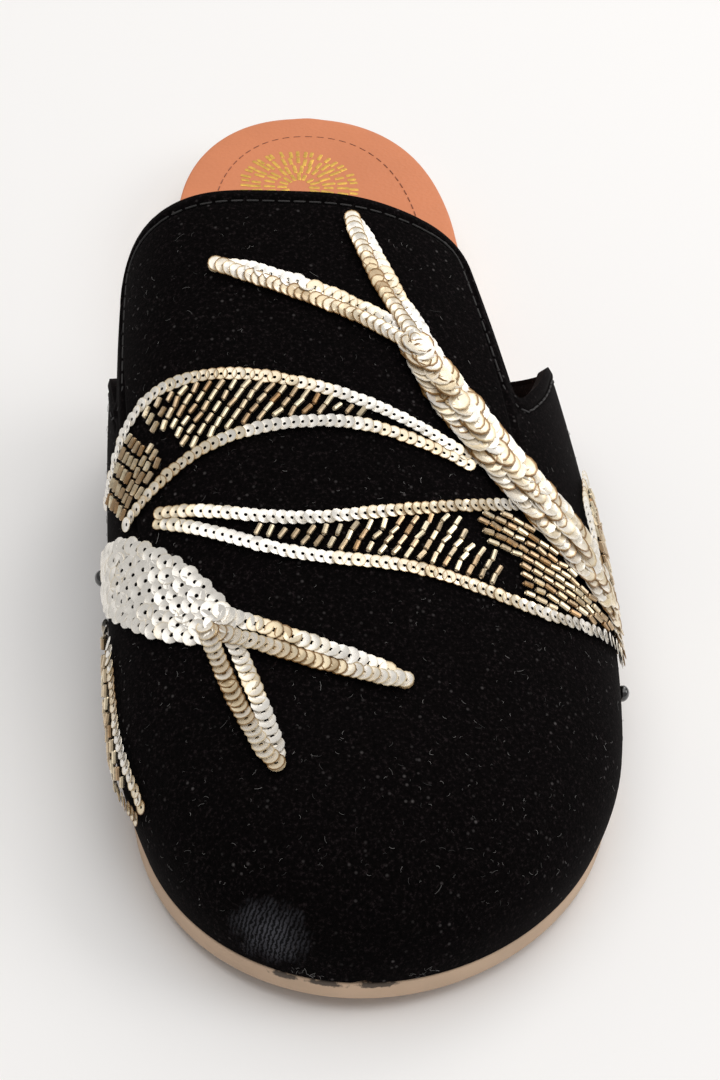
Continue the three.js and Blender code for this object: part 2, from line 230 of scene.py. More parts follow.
# A chart of the vamp: the section angle at each station and share of the way round from the ridge
CHART_ALONG = np.concatenate([np.linspace(0.02, 12, 100), np.linspace(12.5, LOFT_END, 280)])
CHART_SHARES = np.linspace(0, 1, 161)
CHART_ANGLES = np.linspace(math.pi / 2, 0, 500)


def chart_side(side):
    """Girth of one side at each station, and the section angle at equal shares of that girth."""
    points = section_point(CHART_ALONG[:, None], side, CHART_ANGLES[None, :])
    steps = np.linalg.norm(np.diff(points, axis=1), axis=2)
    walked = np.concatenate([np.zeros((len(CHART_ALONG), 1)), np.cumsum(steps, axis=1)], axis=1)
    girth = walked[:, -1]
    angles = [np.interp(CHART_SHARES * g, w, CHART_ANGLES) for g, w in zip(girth, walked)]
    return girth, np.array(angles)


CHART = {-1: chart_side(-1), 1: chart_side(1)}


def girth_at(along, side):
    return np.interp(along, CHART_ALONG, CHART[side][0])


def share_point(along, side, share):
    """Points at shares of the girth round from the ridge on one side."""
    along, share = np.broadcast_arrays(np.asarray(along, float), np.clip(share, 0, 1))
    angles = CHART[side][1]
    row = np.interp(along, CHART_ALONG, np.arange(len(CHART_ALONG)))
    col = share * (len(CHART_SHARES) - 1)
    r = np.minimum(row.astype(int), len(CHART_ALONG) - 2)
    c = np.minimum(col.astype(int), len(CHART_SHARES) - 2)
    fr = row - r
    fc = col - c
    near = angles[r, c] * (1 - fc) + angles[r, c + 1] * fc
    far = angles[r + 1, c] * (1 - fc) + angles[r + 1, c + 1] * fc
    return section_point(along, side, near * (1 - fr) + far * fr)


def vamp_point(places):
    """Points on the vamp at an array of (along, around) places."""
    along = np.clip(places[..., 0], CHART_ALONG[0], LOFT_END)
    around = places[..., 1]
    medial = share_point(along, -1, -around / girth_at(along, -1))
    lateral = share_point(along, 1, around / girth_at(along, 1))
    return np.where(around[..., None] < 0, medial, lateral)


def unit(vectors):
    return vectors / np.maximum(np.linalg.norm(vectors, axis=-1, keepdims=True), 1e-9)


NORMAL_STEP = 0.5


def vamp_frame(places):
    """Points, outward normals and backward tangents at places on the vamp."""
    back_step = np.array([NORMAL_STEP, 0.0])
    round_step = np.array([0.0, NORMAL_STEP])
    back = vamp_point(places + back_step) - vamp_point(places - back_step)
    rounds = vamp_point(places + round_step) - vamp_point(places - round_step)
    return vamp_point(places), unit(np.cross(rounds, back)), unit(back)


def spline(points, t):
    """Uniform smooth curve through points at t from 0 to 1."""
    points = np.asarray(points, float)
    last = len(points) - 1
    reach = np.clip(t, 0, 1) * last
    i = np.minimum(np.floor(reach).astype(int), last - 1)
    w = (reach - i)[..., None]
    p0 = points[np.maximum(i - 1, 0)]
    p1 = points[i]
    p2 = points[i + 1]
    p3 = points[np.minimum(i + 2, last)]
    v0 = (p2 - p0) / 2
    v1 = (p3 - p1) / 2
    return (2 * p1 - 2 * p2 + v0 + v1) * w**3 + (-3 * p1 + 3 * p2 - 2 * v0 - v1) * w**2 + v0 * w + p1


def spline_values(values, t):
    """Uniform smooth curve through single values at t from 0 to 1."""
    return spline(np.array(values, float)[:, None], t)[:, 0]


def walk(points):
    """Distance walked along a polyline to each of its points."""
    return np.concatenate([[0], np.cumsum(np.linalg.norm(np.diff(points, axis=0), axis=1))])


def points_at(distances, walked, line):
    """Places on a polyline at distances walked along it."""
    return np.stack([np.interp(distances, walked, line[:, k]) for k in range(2)], -1)


def evenly(places, pitch):
    """Places at an even pitch, measured on the vamp, along a polyline of places."""
    walked = walk(vamp_point(places))
    count = max(2, int(round(walked[-1] / pitch)) + 1)
    return points_at(np.linspace(0, walked[-1], count), walked, places)


def aside(line):
    """Unit vectors a quarter turn from the heading of a polyline of places."""
    ahead = unit(np.gradient(line, axis=0))
    return np.stack([-ahead[:, 1], ahead[:, 0]], -1)


# Where the shoe's axis and toe tip are in the frame
SOLE_LOW, SOLE_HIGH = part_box("outsole")
AXIS_X = SOLE_LOW.x / MM + half_width("medial", np.linspace(0, LENGTH, 500)).max()
TOE_Y = (SOLE_LOW.y + SOLE_HIGH.y) / 2 / MM - LENGTH / 2


def to_frame(points):
    """Shoe millimetres to frame metres."""
    return (np.asarray(points, float) + np.array([AXIS_X, TOE_Y, 0.0])) * MM


def colour_setting(name, description, default):
    return FloatVectorProperty(
        name=name, description=description, subtype="COLOR", size=3, min=0, max=1, default=default,
    )


def length_setting(name, description, millimetres):
    return FloatProperty(name=name, description=description, unit="LENGTH", default=millimetres * MM)


class MuleVelvet(bpy.types.PropertyGroup):
    """Velvet of the upper."""

    colour: colour_setting("Velvet", "Colour of the pile", (0.0022, 0.0016, 0.0017))
    lining: colour_setting("Lining", "Colour of the lining", (0.17, 0.083, 0.054))
    wall: length_setting("Wall", "Thickness of the upper", 2.0)
    edge_puff: length_setting("Edge puff", "Swell of the turned edge", 0.3)
    seam_inset: length_setting("Seam inset", "From the topline to its stitching", 2.6)
    stitch_pitch: length_setting("Stitch pitch", "Between topline stitches", 3.0)
    lint_count: IntProperty(name="Lint", description="Loose fibres caught in the pile", default=900, min=0)


class MuleLeather(bpy.types.PropertyGroup):
    """Insole and sole."""

    insole: colour_setting("Insole", "Colour of the insole leather", (0.68, 0.235, 0.105))
    sole: colour_setting("Sole", "Colour of the sole", (0.60, 0.43, 0.30))
    foil: colour_setting("Foil", "Colour of the foil mark", (0.78, 0.47, 0.09))
    seam_inset: length_setting("Heel seam inset", "From the insole's edge to its stitching", 8.0)
    tread_depth: length_setting("Tread depth", "Depth of the grooves underneath", 0.6)


class MuleEmbroidery(bpy.types.PropertyGroup):
    """Sequins and beads."""

    small_sequin: length_setting("Small sequin", "Diameter on wing borders", 2.8)
    tail_sequin: length_setting("Tail sequin", "Diameter on tails", 3.4)
    large_sequin: length_setting("Large sequin", "Diameter on the bodies", 5.6)
    border_pitch: length_setting("Border pitch", "Between sequins of a wing border", 1.65)
    tail_pitch: length_setting("Tail pitch", "Between sequins of a tail", 1.45)
    bead_length: length_setting("Bead length", "Of a tube bead", 2.0)
    bead_width: length_setting("Bead width", "Of a tube bead", 1.05)
    string_pitch: length_setting("String pitch", "Between strings of beads", 2.0)
    eye_width: length_setting("Eye", "Width of an eye bead", 3.2)
    cream: colour_setting("Cream", "Palest sequins", (1.0, 0.96, 0.89))
    champagne: colour_setting("Champagne", "Deeper sequins", (0.90, 0.75, 0.50))
    # The rim colour is gold darkened to brown: painted shade in the gaps between overlapping sequins
    rim: colour_setting("Rim", "Golden rims of closely laid sequins", (0.27, 0.14, 0.04))
    gold: colour_setting("Gold", "Brightest beads", (1.0, 0.87, 0.62))
    bronze: colour_setting("Bronze", "Deepest beads", (0.42, 0.23, 0.085))


class MuleStage(bpy.types.PropertyGroup):
    """Floor, light and camera."""

    floor: colour_setting("Floor", "Colour of the floor", (0.925, 0.918, 0.916))
    lens: FloatProperty(name="Lens", description="Focal length, in millimetres", default=102.0, min=20)
    roll: FloatProperty(
        name="Roll", description="Turn of the camera about its view", subtype="ANGLE",
        default=math.radians(5.4),
    )


class Mule(bpy.types.PropertyGroup):
    """All settings of the mule."""

    velvet: PointerProperty(type=MuleVelvet)
    leather: PointerProperty(type=MuleLeather)
    embroidery: PointerProperty(type=MuleEmbroidery)
    stage: PointerProperty(type=MuleStage)


def settings():
    return bpy.context.scene.mule


# Shaping helpers

MERGE_DISTANCE = 0.01 * MM
SLIVER = 0.002 * MM


def deselect():
    if bpy.context.object and bpy.context.object.mode != "OBJECT":
        bpy.ops.object.mode_set(mode="OBJECT")
    bpy.ops.object.select_all(action="DESELECT")


def take(piece):
    """Makes one piece the only selected one."""
    deselect()
    piece.select_set(True)
    bpy.context.view_layer.objects.active = piece


def name_piece(name):
    piece = bpy.context.object
    piece.name = name
    piece.data.name = name
    return piece


def apply_modifier(piece, kind, **values):
    take(piece)
    modifier = piece.modifiers.new(kind.title(), kind)
    for key, value in values.items():
        setattr(modifier, key, value)
    bpy.ops.object.modifier_apply(modifier=modifier.name)


def shaped_grid(name, points):
    """A grid with its vertices moved to an array of points, rows by columns, in shoe millimetres."""
    rows, columns = points.shape[:2]
    deselect()
    bpy.ops.mesh.primitive_grid_add(x_subdivisions=columns - 1, y_subdivisions=rows - 1, size=2)
    piece = name_piece(name)
    flat = np.empty(len(piece.data.vertices) * 3, np.float32)
    piece.data.vertices.foreach_get("co", flat)
    flat = flat.reshape(-1, 3)
    if len(flat) != rows * columns:
        raise RuntimeError(f"{name}: the grid has {len(flat)} vertices, not {rows} by {columns}")
    column = np.rint((flat[:, 0] + 1) / 2 * (columns - 1)).astype(int)
    row = np.rint((flat[:, 1] + 1) / 2 * (rows - 1)).astype(int)
    placed = to_frame(points[row, column])
    piece.data.vertices.foreach_set("co", placed.astype(np.float32).ravel())
    piece.data.update()
    return piece


def close_mesh(piece):
    """Merges a shape's meeting edges and poles, drops what has no area and turns its faces outwards."""
    take(piece)
    bpy.ops.object.mode_set(mode="EDIT")
    bpy.ops.mesh.select_all(action="SELECT")
    bpy.ops.mesh.remove_doubles(threshold=MERGE_DISTANCE)
    bpy.ops.mesh.dissolve_degenerate(threshold=SLIVER)
    bpy.ops.mesh.select_all(action="SELECT")
    bpy.ops.mesh.normals_make_consistent(inside=False)
    bpy.ops.object.mode_set(mode="OBJECT")


def smooth(piece, degrees=40):
    take(piece)
    bpy.ops.object.shade_smooth_by_angle(angle=math.radians(degrees))


def start_bar(sides):
    """Adds a bar of unit length and width along X, the start of a template."""
    deselect()
    bpy.ops.mesh.primitive_cylinder_add(
        vertices=sides, radius=0.5, depth=1.0, rotation=(0, math.pi / 2, 0),
    )
    bpy.ops.object.transform_apply(rotation=True)
    return bpy.context.object


def select_faces(piece, chosen):
    """Goes to edit mode with only those faces selected that a test chooses."""
    bpy.ops.object.mode_set(mode="EDIT")
    bpy.ops.mesh.select_mode(type="FACE")
    bpy.ops.mesh.select_all(action="DESELECT")
    bpy.ops.object.mode_set(mode="OBJECT")
    for face in piece.data.polygons:
        face.select = chosen(face)
    bpy.ops.object.mode_set(mode="EDIT")


def template_arrays():
    """The active template's vertices and faces; the template is then removed."""
    piece = bpy.context.object
    bpy.ops.object.mode_set(mode="OBJECT")
    corners = np.array([vertex.co for vertex in piece.data.vertices])
    faces = [tuple(face.vertices) for face in piece.data.polygons]
    mesh = piece.data
    bpy.data.objects.remove(piece)
    bpy.data.meshes.remove(mesh)
    return corners, faces


def copies(name, template, places, axes, sizes, tones):
    """One mesh of a template's copies: places in shoe millimetres, three axes, sizes along them, and a
    tone for each copy or each of its corners."""
    corners, faces = template
    parts = np.einsum("vk,nk,nkc->nvc", corners, sizes, axes) + places[:, None, :]
    count = len(corners)
    all_faces = [tuple(k * count + i for i in face) for k in range(len(places)) for face in faces]
    mesh = bpy.data.meshes.new(name)
    mesh.from_pydata(to_frame(parts.reshape(-1, 3)).tolist(), [], all_faces)
    tone = mesh.attributes.new("tone", "FLOAT", "POINT")
    corner_tones = np.broadcast_to(np.reshape(tones, (len(places), -1)), (len(places), count))
    tone.data.foreach_set("value", corner_tones.astype(np.float32).ravel())
    piece = bpy.data.objects.new(name, mesh)
    bpy.context.scene.collection.objects.link(piece)
    return piece


def tilted_axes(normals, forward, tilt, roll=None):
    """Axes for copies that lie on the vamp: forward and across the row, and up, tipped back by tilt."""
    forward = unit(forward - normals * np.sum(forward * normals, -1, keepdims=True))
    across = np.cross(normals, forward)
    if roll is not None:
        normals = normals * np.cos(roll)[:, None] + across * np.sin(roll)[:, None]
        across = np.cross(normals, forward)
    c = np.cos(tilt)[:, None]
    s = np.sin(tilt)[:, None]
    ahead = forward * c + normals * s
    up = normals * c - forward * s
    return np.stack([ahead, across, up], 1)


FINISHES = {}


def finish_piece(piece, slot, makers, *nodes):
    """Ties a piece to the frame and gives it finishes, each made the first time that a piece needs it."""
    # Known fault: this also puts every face on the first slot, so the upper's lining is on no face
    piece.data.materials.clear()
    for maker in makers:
        if maker not in FINISHES:
            FINISHES[maker] = maker()
        piece.data.materials.append(FINISHES[maker])
    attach(piece, BODY)
    if nodes:
        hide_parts(*nodes)


# Materials


class Finish:
    """A material being built: its nodes, its shader and short ways to join them."""

    def __init__(self, name, **constants):
        self.material = bpy.data.materials.new(name)
        self.material.use_nodes = True
        self.tree = self.material.node_tree
        self.shader = self.tree.nodes["Principled BSDF"]
        for socket, value in constants.items():
            self.shader.inputs[socket.replace("_", " ")].default_value = value
        self.coordinates = self.tree.nodes.new("ShaderNodeTexCoord")

    def node(self, kind, inputs=None, **values):
        node = self.tree.nodes.new(kind)
        for key, value in values.items():
            setattr(node, key, value)
        for socket, value in (inputs or {}).items():
            if isinstance(value, bpy.types.NodeSocket):
                self.tree.links.new(value, node.inputs[socket])
            else:
                node.inputs[socket].default_value = value
        return node

    def place(self, centre=(0, 0, 0), scale=(1, 1, 1), turn=(0, 0, 0)):
        """Object coordinates moved to a centre in metres, turned and scaled."""
        start = self.coordinates.outputs["Object"]
        moved = self.node("ShaderNodeMapping", {"Vector": start, "Location": [-c for c in centre]})
        sized = self.node("ShaderNodeMapping", {"Vector": moved.outputs[0], "Rotation": turn, "Scale": scale})
        return sized.outputs[0]

    def noise(self, scale, detail=3.0, roughness=0.55, vector=None):
        vector = vector or self.coordinates.outputs["Object"]
        inputs = {"Vector": vector, "Scale": scale, "Detail": detail, "Roughness": roughness}
        return self.node("ShaderNodeTexNoise", inputs).outputs["Fac"]

    def cells(self, scale):
        inputs = {"Vector": self.coordinates.outputs["Object"], "Scale": scale}
        return self.node("ShaderNodeTexVoronoi", inputs).outputs["Distance"]

    def tone(self):
        """The tone that each copy on a piece carries as an attribute."""
        return self.node("ShaderNodeAttribute", attribute_name="tone").outputs["Fac"]

    def ramp(self, value, *stops):
        """A colour ramp; a stop is (position, grey or colour)."""
        node = self.node("ShaderNodeValToRGB", {"Fac": value})
        elements = node.color_ramp.elements
        while len(elements) < len(stops):
            elements.new(0.5)
        for element, (position, colour) in zip(elements, stops):
            element.position = position
            rgb = (colour,) * 3 if isinstance(colour, (int, float)) else tuple(colour)
            element.color = (*rgb, 1)
        return node.outputs["Color"]

    def mottled(self, colour, scale, detail, darker, paler, span=(0.3, 0.7)):
        """A colour that wanders between a darker and a paler shade of itself."""
        low, high = span
        noise = self.noise(scale, detail)
        return self.ramp(noise, (low, shade(colour, darker)), (high, shade(colour, paler)))

    def mix(self, factor, one, other, blend="MIX"):
        node = self.node("ShaderNodeMix", {0: factor}, data_type="RGBA", blend_type=blend)
        for socket, value in ((6, one), (7, other)):
            if isinstance(value, bpy.types.NodeSocket):
                self.tree.links.new(value, node.inputs[socket])
            else:
                node.inputs[socket].default_value = (*value, 1)
        return node.outputs[2]

    def math(self, operation, one, other):
        return self.node("ShaderNodeMath", {0: one, 1: other}, operation=operation).outputs[0]

    def patch(self, centre, radii, ragged, scale):
        """From 1 at the middle of a ragged ellipsoid to 0 outside; centre and radii in shoe millimetres."""
        vector = self.place(to_frame(centre), [1 / (radius * MM) for radius in radii])
        ball = self.node("ShaderNodeTexGradient", {"Vector": vector}, gradient_type="SPHERICAL")
        rough = self.math("MULTIPLY_ADD", self.noise(scale), ragged)
        rough.node.inputs[2].default_value = -ragged / 2
        return self.math("ADD", ball.outputs["Fac"], rough)

    def set(self, socket, value):
        self.tree.links.new(value, self.shader.inputs[socket])

    def bump(self, height, strength, distance):
        node = self.node("ShaderNodeBump", {"Height": height, "Strength": strength, "Distance": distance})
        self.set("Normal", node.outputs[0])


def shade(colour, factor):
    return tuple(min(1.0, c * factor) for c in colour)


WORN_PATCH_CENTRE = (-15.8, 4.4, 15.0)
WORN_PATCH_RADII = (9.5, 11.0, 8.0)
WORN_PATCH_TURN = 0.7  # of the bared threads, in radians
BARE_THREADS = ((0.008, 0.008, 0.009), (0.065, 0.065, 0.075))
# Pale specks in the pile: dust, and painted glints of the nap
DUST_AND_GLINTS = (0.11, 0.1, 0.1)


def velvet_finish():
    """Near-black pile with a soft sheen, bright flecks painted as glints of the nap, pale specks that are
    dust and painted glints, and a rubbed patch at the toe.
    """
    colour = tuple(settings().velvet.colour)
    finish = Finish(
        "velvet_pile", Roughness=1.0, Specular_IOR_Level=0.04, Sheen_Weight=0.03, Sheen_Roughness=0.4,
        Sheen_Tint=(0.6, 0.55, 0.55, 1),
    )
    # The pile's colour wanders with fine noise; its brightest flecks are painted glints of the nap
    pile = finish.ramp(
        finish.noise(1500.0, 4, 0.7),
        (0.38, shade(colour, 0.5)), (0.56, shade(colour, 1.3)), (0.72, shade(colour, 8.0)),
    )
    # Specks in clumps, pale as dust and as painted glints of the nap
    specks = finish.ramp(finish.cells(520.0), (0.0, 1.0), (0.2, 0.0))
    clumps = finish.ramp(finish.noise(120.0, 4), (0.44, 0.0), (0.7, 1.0))
    dust_and_glints = finish.mix(finish.math("MULTIPLY", specks, clumps), pile, DUST_AND_GLINTS)
    patch = finish.patch(WORN_PATCH_CENTRE, WORN_PATCH_RADII, 0.8, 330.0)
    worn = finish.ramp(patch, (0.2, 0.0), (0.85, 1.0))
    turned = finish.place(to_frame(WORN_PATCH_CENTRE), turn=(0, 0, WORN_PATCH_TURN))
    ribs = finish.node(
        "ShaderNodeTexWave",
        {"Vector": turned, "Scale": 420.0, "Distortion": 5.0, "Detail": 2.0, "Detail Scale": 3.0},
    )
    threads = finish.ramp(ribs.outputs["Fac"], (0.2, BARE_THREADS[0]), (0.85, BARE_THREADS[1]))
    finish.set("Base Color", finish.mix(worn, dust_and_glints, threads))
    finish.bump(finish.noise(2600.0, 2), 0.35, 0.3 * MM)
    return finish.material


def lining_finish():
    """Brown lining leather."""
    finish = Finish("lining_leather", Roughness=0.6)
    colour = tuple(settings().velvet.lining)
    finish.set("Base Color", finish.mottled(colour, 90.0, 3, 0.75, 1.2, (0.3, 0.75)))
    finish.bump(finish.cells(900.0), 0.2, 0.2 * MM)
    return finish.material


SEAM_THREAD = (0.02, 0.018, 0.018)
HEEL_THREAD = (0.33, 0.12, 0.065)


def thread_finish(name, colour):
    """Twisted sewing thread."""
    finish = Finish(name, Roughness=0.75)
    finish.set("Base Color", finish.mottled(colour, 1500.0, 2, 0.6, 1.3))
    finish.bump(finish.noise(3500.0, 1), 0.3, 0.1 * MM)
    return finish.material


def seam_thread_finish():
    return thread_finish("seam_thread", SEAM_THREAD)


def heel_thread_finish():
    return thread_finish("heel_thread", HEEL_THREAD)


DARK_LINT = (0.02, 0.019, 0.019)
PALE_LINT = (0.24, 0.23, 0.225)


def lint_finish():
    """Loose fibres, some paler than others."""
    finish = Finish("lint_fibres", Roughness=0.9)
    finish.set("Base Color", finish.ramp(finish.tone(), (0.0, DARK_LINT), (1.0, PALE_LINT)))
    return finish.material


def insole_finish():
    """Coral tan leather with a fine grain, a little darker and duller in places."""
    colour = tuple(settings().leather.insole)
    finish = Finish("grained_leather", Roughness=0.5, Specular_IOR_Level=0.35)
    tone = finish.mottled(colour, 38.0, 5, 0.9, 1.08, (0.3, 0.72))
    pores = finish.ramp(finish.cells(1300.0), (0.0, shade(colour, 0.72)), (0.22, colour))
    finish.set("Base Color", finish.mix(0.3, tone, pores))
    finish.set("Roughness", finish.ramp(finish.noise(60.0, 3), (0.3, 0.42), (0.75, 0.6)))
    finish.bump(finish.cells(1100.0), 0.22, 0.25 * MM)
    return finish.material


# Near-black patches across the top of the toe's front edge, just under the velvet
TOE_EDGE_DARK_CENTRES = ((-14.0, 2.0, 6.6), (-6.0, 0.8, 6.9), (3.0, 0.6, 7.1))
TOE_EDGE_DARK_RADII = (6.5, 4.0, 1.3)
TOE_EDGE_DARK = (0.03, 0.024, 0.02)
GRIME_HEIGHT = 0.5 * MM  # grime fades out at this height over the floor


def sole_finish():
    """Smooth tan sole, darker in patches at the top of the toe's front edge, and with grime where it is
    trodden.
    """
    colour = tuple(settings().leather.sole)
    finish = Finish("sole_edge", Roughness=0.55, Specular_IOR_Level=0.35)
    tone = finish.mottled(colour, 55.0, 5, 0.88, 1.08, (0.3, 0.72))
    streaks = finish.noise(70.0, 4, vector=finish.place(scale=(1, 1, 6)))
    painted = finish.mix(finish.ramp(streaks, (0.45, 0.0), (0.8, 0.35)), tone, shade(colour, 0.72))
    for centre in TOE_EDGE_DARK_CENTRES:
        dark = finish.patch(centre, TOE_EDGE_DARK_RADII, 0.9, 900.0)
        painted = finish.mix(finish.ramp(dark, (0.42, 0.0), (0.62, 0.9)), painted, TOE_EDGE_DARK)
    scaled = finish.place(scale=(1, 1, 1 / GRIME_HEIGHT))
    height = finish.node("ShaderNodeSeparateXYZ", {0: scaled}).outputs["Z"]
    low = finish.ramp(height, (0.0, 1.0), (1.0, 0.0))
    trodden = finish.math("MULTIPLY", low, finish.ramp(streaks, (0.3, 0.2), (0.7, 0.8)))
    finish.set("Base Color", finish.mix(trodden, painted, shade(colour, 0.38)))
    finish.set("Roughness", finish.ramp(finish.noise(120.0, 3), (0.3, 0.45), (0.75, 0.65)))
    finish.bump(finish.noise(900.0, 3), 0.12, 0.2 * MM)
    return finish.material


def foil_finish():
    """Stamped metal foil of uneven tone."""
    finish = Finish("gold_foil", Metallic=0.55, Roughness=0.42)
    colour = tuple(settings().leather.foil)
    finish.set("Base Color", finish.mottled(colour, 800.0, 4, 0.75, 1.2, (0.35, 0.7)))
    finish.bump(finish.noise(1500.0), 0.2, 0.1 * MM)
    return finish.material


def sequin_finish():
    """Pearly pressed sequins, from dark gilt rims to cream by their own tone; the rims' darkness is painted
    shade between overlapping sequins.
    """
    group = settings().embroidery
    finish = Finish("sequin_foil", Metallic=0.45, Roughness=0.25, Coat_Weight=0.5, Coat_Roughness=0.15)
    # Low tones give the rim colour, gold with painted shade of the gaps between sequins
    body = finish.ramp(finish.tone(), (0.25, group.rim), (0.6, group.champagne), (0.9, group.cream))
    mottle = finish.ramp(finish.noise(900.0, 2), (0.3, 0.88), (0.7, 1.0))
    finish.set("Base Color", finish.mix(1.0, body, mottle, "MULTIPLY"))
    finish.set("Roughness", finish.ramp(finish.noise(500.0, 2), (0.3, 0.2), (0.7, 0.38)))
    finish.bump(finish.noise(700.0, 2), 0.1, 0.2 * MM)
    return finish.material


def bead_finish():
    """Glass tubes lined with gold, some darker."""
    group = settings().embroidery
    finish = Finish("lined_glass", Metallic=0.85, Roughness=0.2, Coat_Weight=0.8, Coat_Roughness=0.05)
    body = finish.ramp(finish.tone(), (0.0, group.bronze), (1.0, group.gold))
    mottle = finish.ramp(finish.noise(1100.0, 2), (0.3, 0.7), (0.65, 1.0))
    finish.set("Base Color", finish.mix(1.0, body, mottle, "MULTIPLY"))
    finish.set("Roughness", finish.ramp(finish.noise(900.0, 2), (0.3, 0.16), (0.7, 0.34)))
    return finish.material


def jet_finish():
    """Polished black glass."""
    finish = Finish("jet_glass", Roughness=0.08, Coat_Weight=1.0, Coat_Roughness=0.03)
    finish.set("Base Color", finish.ramp(finish.noise(400.0, 2), (0.3, 0.004), (0.7, 0.012)))
    return finish.material


# The upper

UPPER_TOE_ROWS = 34
UPPER_BACK_ROWS = 60
UPPER_EDGE_ROWS = 16
UPPER_EDGE = 6.5  # the last stretch before the topline, with finer rows
COLUMN_PITCH = 1.25
TOPLINE_SHARES = np.linspace(0, 1, 1400)
TOPLINE_SEARCH = np.arange(70.0, LOFT_END, 0.1)  # where along the shoe the topline may be
TOPLINE_BLUR = 2  # neighbours to either side that are averaged
BEND_STEPS = 9
PUFF_REACH = 0.9  # half-width of the swell between the edge and its seam
GROOVE_REACH = 0.5  # half-width of the groove that the seam pulls in
EDGE_BEVEL = 0.55 * MM
EDGE_ANGLE = math.radians(55)  # sharper edges than this are bevelled


def bend_points(start, corner, finish):
    """A quadratic bend from start to finish about a corner."""
    t = np.linspace(0, 1, BEND_STEPS)[:, None]
    start, corner, finish = (np.array(p, float) for p in (start, corner, finish))
    return (1 - t) ** 2 * start + 2 * t * (1 - t) * corner + t**2 * finish


def towards(start, finish, distance):
    start = np.array(start, float)
    finish = np.array(finish, float)
    return start + (finish - start) / np.linalg.norm(finish - start) * distance


def topline_side(side):
    """One side's topline seen from the side, as (along, up) rows from the collar down to the sole."""
    collar = bend_points(COLLAR_CORNER, COLLAR_BEND[side], SHOULDER[side])
    notch = bend_points(
        towards(NOTCH[side], SHOULDER[side], NOTCH_REACH), NOTCH[side],
        towards(NOTCH[side], WING_CORNER[side], NOTCH_REACH),
    )
    corner = bend_points(
        towards(WING_CORNER[side], NOTCH[side], WING_CORNER_REACH), WING_CORNER[side],
        towards(WING_CORNER[side], WING_END, WING_CORNER_REACH),
    )
    end = [WING_END, (WING_END[0], -WING_END[1])]
    return np.concatenate([[COLLAR_TOP], collar, notch, corner, end])


def topline(side):
    """How far back the upper reaches at each share of the way round on one side."""
    line = topline_side(side)[::-1]
    points = share_point(TOPLINE_SEARCH[None, :], side, TOPLINE_SHARES[:, None])
    inside = TOPLINE_SEARCH[None, :] < np.interp(points[..., 2], line[:, 1], line[:, 0])
    reach = TOPLINE_SEARCH[np.argmin(inside, axis=1)]
    window = 2 * TOPLINE_BLUR + 1
    return np.convolve(np.pad(reach, TOPLINE_BLUR, mode="edge"), np.ones(window) / window, mode="valid")


TOPLINE_REACH = {side: topline(side) for side in (-1, 1)}


def edge_columns(side):
    """Shares for the upper's columns, even along the topline from the ridge to the sole, and their reach."""
    reach = TOPLINE_REACH[side]
    walked = walk(share_point(reach, side, TOPLINE_SHARES))
    count = int(walked[-1] / COLUMN_PITCH)
    shares = np.interp(np.linspace(0, walked[-1], count + 1), walked, TOPLINE_SHARES)
    return shares, np.interp(shares, TOPLINE_SHARES, reach)


def upper_points():
    """Outer surface of the upper, rows from the toe to the topline, with its turned edge and seam groove."""
    puff = settings().velvet.edge_puff / MM
    seam = settings().velvet.seam_inset / MM
    turn = np.linspace(0, math.pi / 2, UPPER_TOE_ROWS, endpoint=False)
    toe = TOE_CAP_LENGTH * (1 - np.cos(turn))
    blocks = []
    for side in (-1, 1):
        shares, reach = edge_columns(side)
        middle = np.linspace(0, 1, UPPER_BACK_ROWS, endpoint=False)[:, None]
        back = TOE_CAP_LENGTH + (reach - UPPER_EDGE - TOE_CAP_LENGTH) * middle
        edge = reach - UPPER_EDGE * np.linspace(1, 0, UPPER_EDGE_ROWS)[:, None]
        along = np.concatenate([np.repeat(toe[:, None], len(shares), 1), back, edge])
        around = side * shares * girth_at(along, side)
        steep = np.gradient(reach) / np.maximum(np.gradient(shares * girth_at(reach, side)), 1e-3)
        inside = (reach - along) / np.sqrt(1 + steep**2)
        swell = puff * np.exp(-(((inside - seam / 2) / PUFF_REACH) ** 2))
        swell -= puff * np.exp(-(((inside - seam) / GROOVE_REACH) ** 2))
        places = np.stack([np.maximum(along, CHART_ALONG[0]), around], -1)
        _, normals, _ = vamp_frame(places)
        points = share_point(places[..., 0], side, np.broadcast_to(shares, along.shape))
        points = points + normals * swell[..., None] * (along > TOE_CAP_LENGTH)[..., None]
        points[0] = points[0].mean(axis=0)
        blocks.append(points if side > 0 else points[:, :0:-1])
    blocks[0][0] = blocks[1][0, 0]
    return np.concatenate(blocks, axis=1)


class MULE_OT_upper(bpy.types.Operator):
    """Build the velvet upper"""

    bl_idname = "mule.upper"
    bl_label = "Velvet upper"

    def execute(self, context):
        upper = shaped_grid("velvet_upper", upper_points())
        close_mesh(upper)
        for _ in ("velvet", "lining"):
            upper.data.materials.append(None)
        apply_modifier(
            upper, "SOLIDIFY", thickness=settings().velvet.wall, offset=-1.0, use_rim=True, material_offset=1,
        )
        apply_modifier(
            upper, "BEVEL", width=EDGE_BEVEL, segments=3, limit_method="ANGLE", angle_limit=EDGE_ANGLE,
        )
        smooth(upper, degrees=60)
        finish_piece(upper, "velvet", [velvet_finish, lining_finish], "upper")
        return {"FINISHED"}


SEAM_SOLE_ROOM = 1.5  # from the ends of the stitching to the sole
SEAM_SHARE = 0.97  # share of the inset that a stitch keeps from every stretch of the edge
TOPLINE_STITCH = (2.3, 0.42)  # length and width
STITCH_BEVEL = 0.14


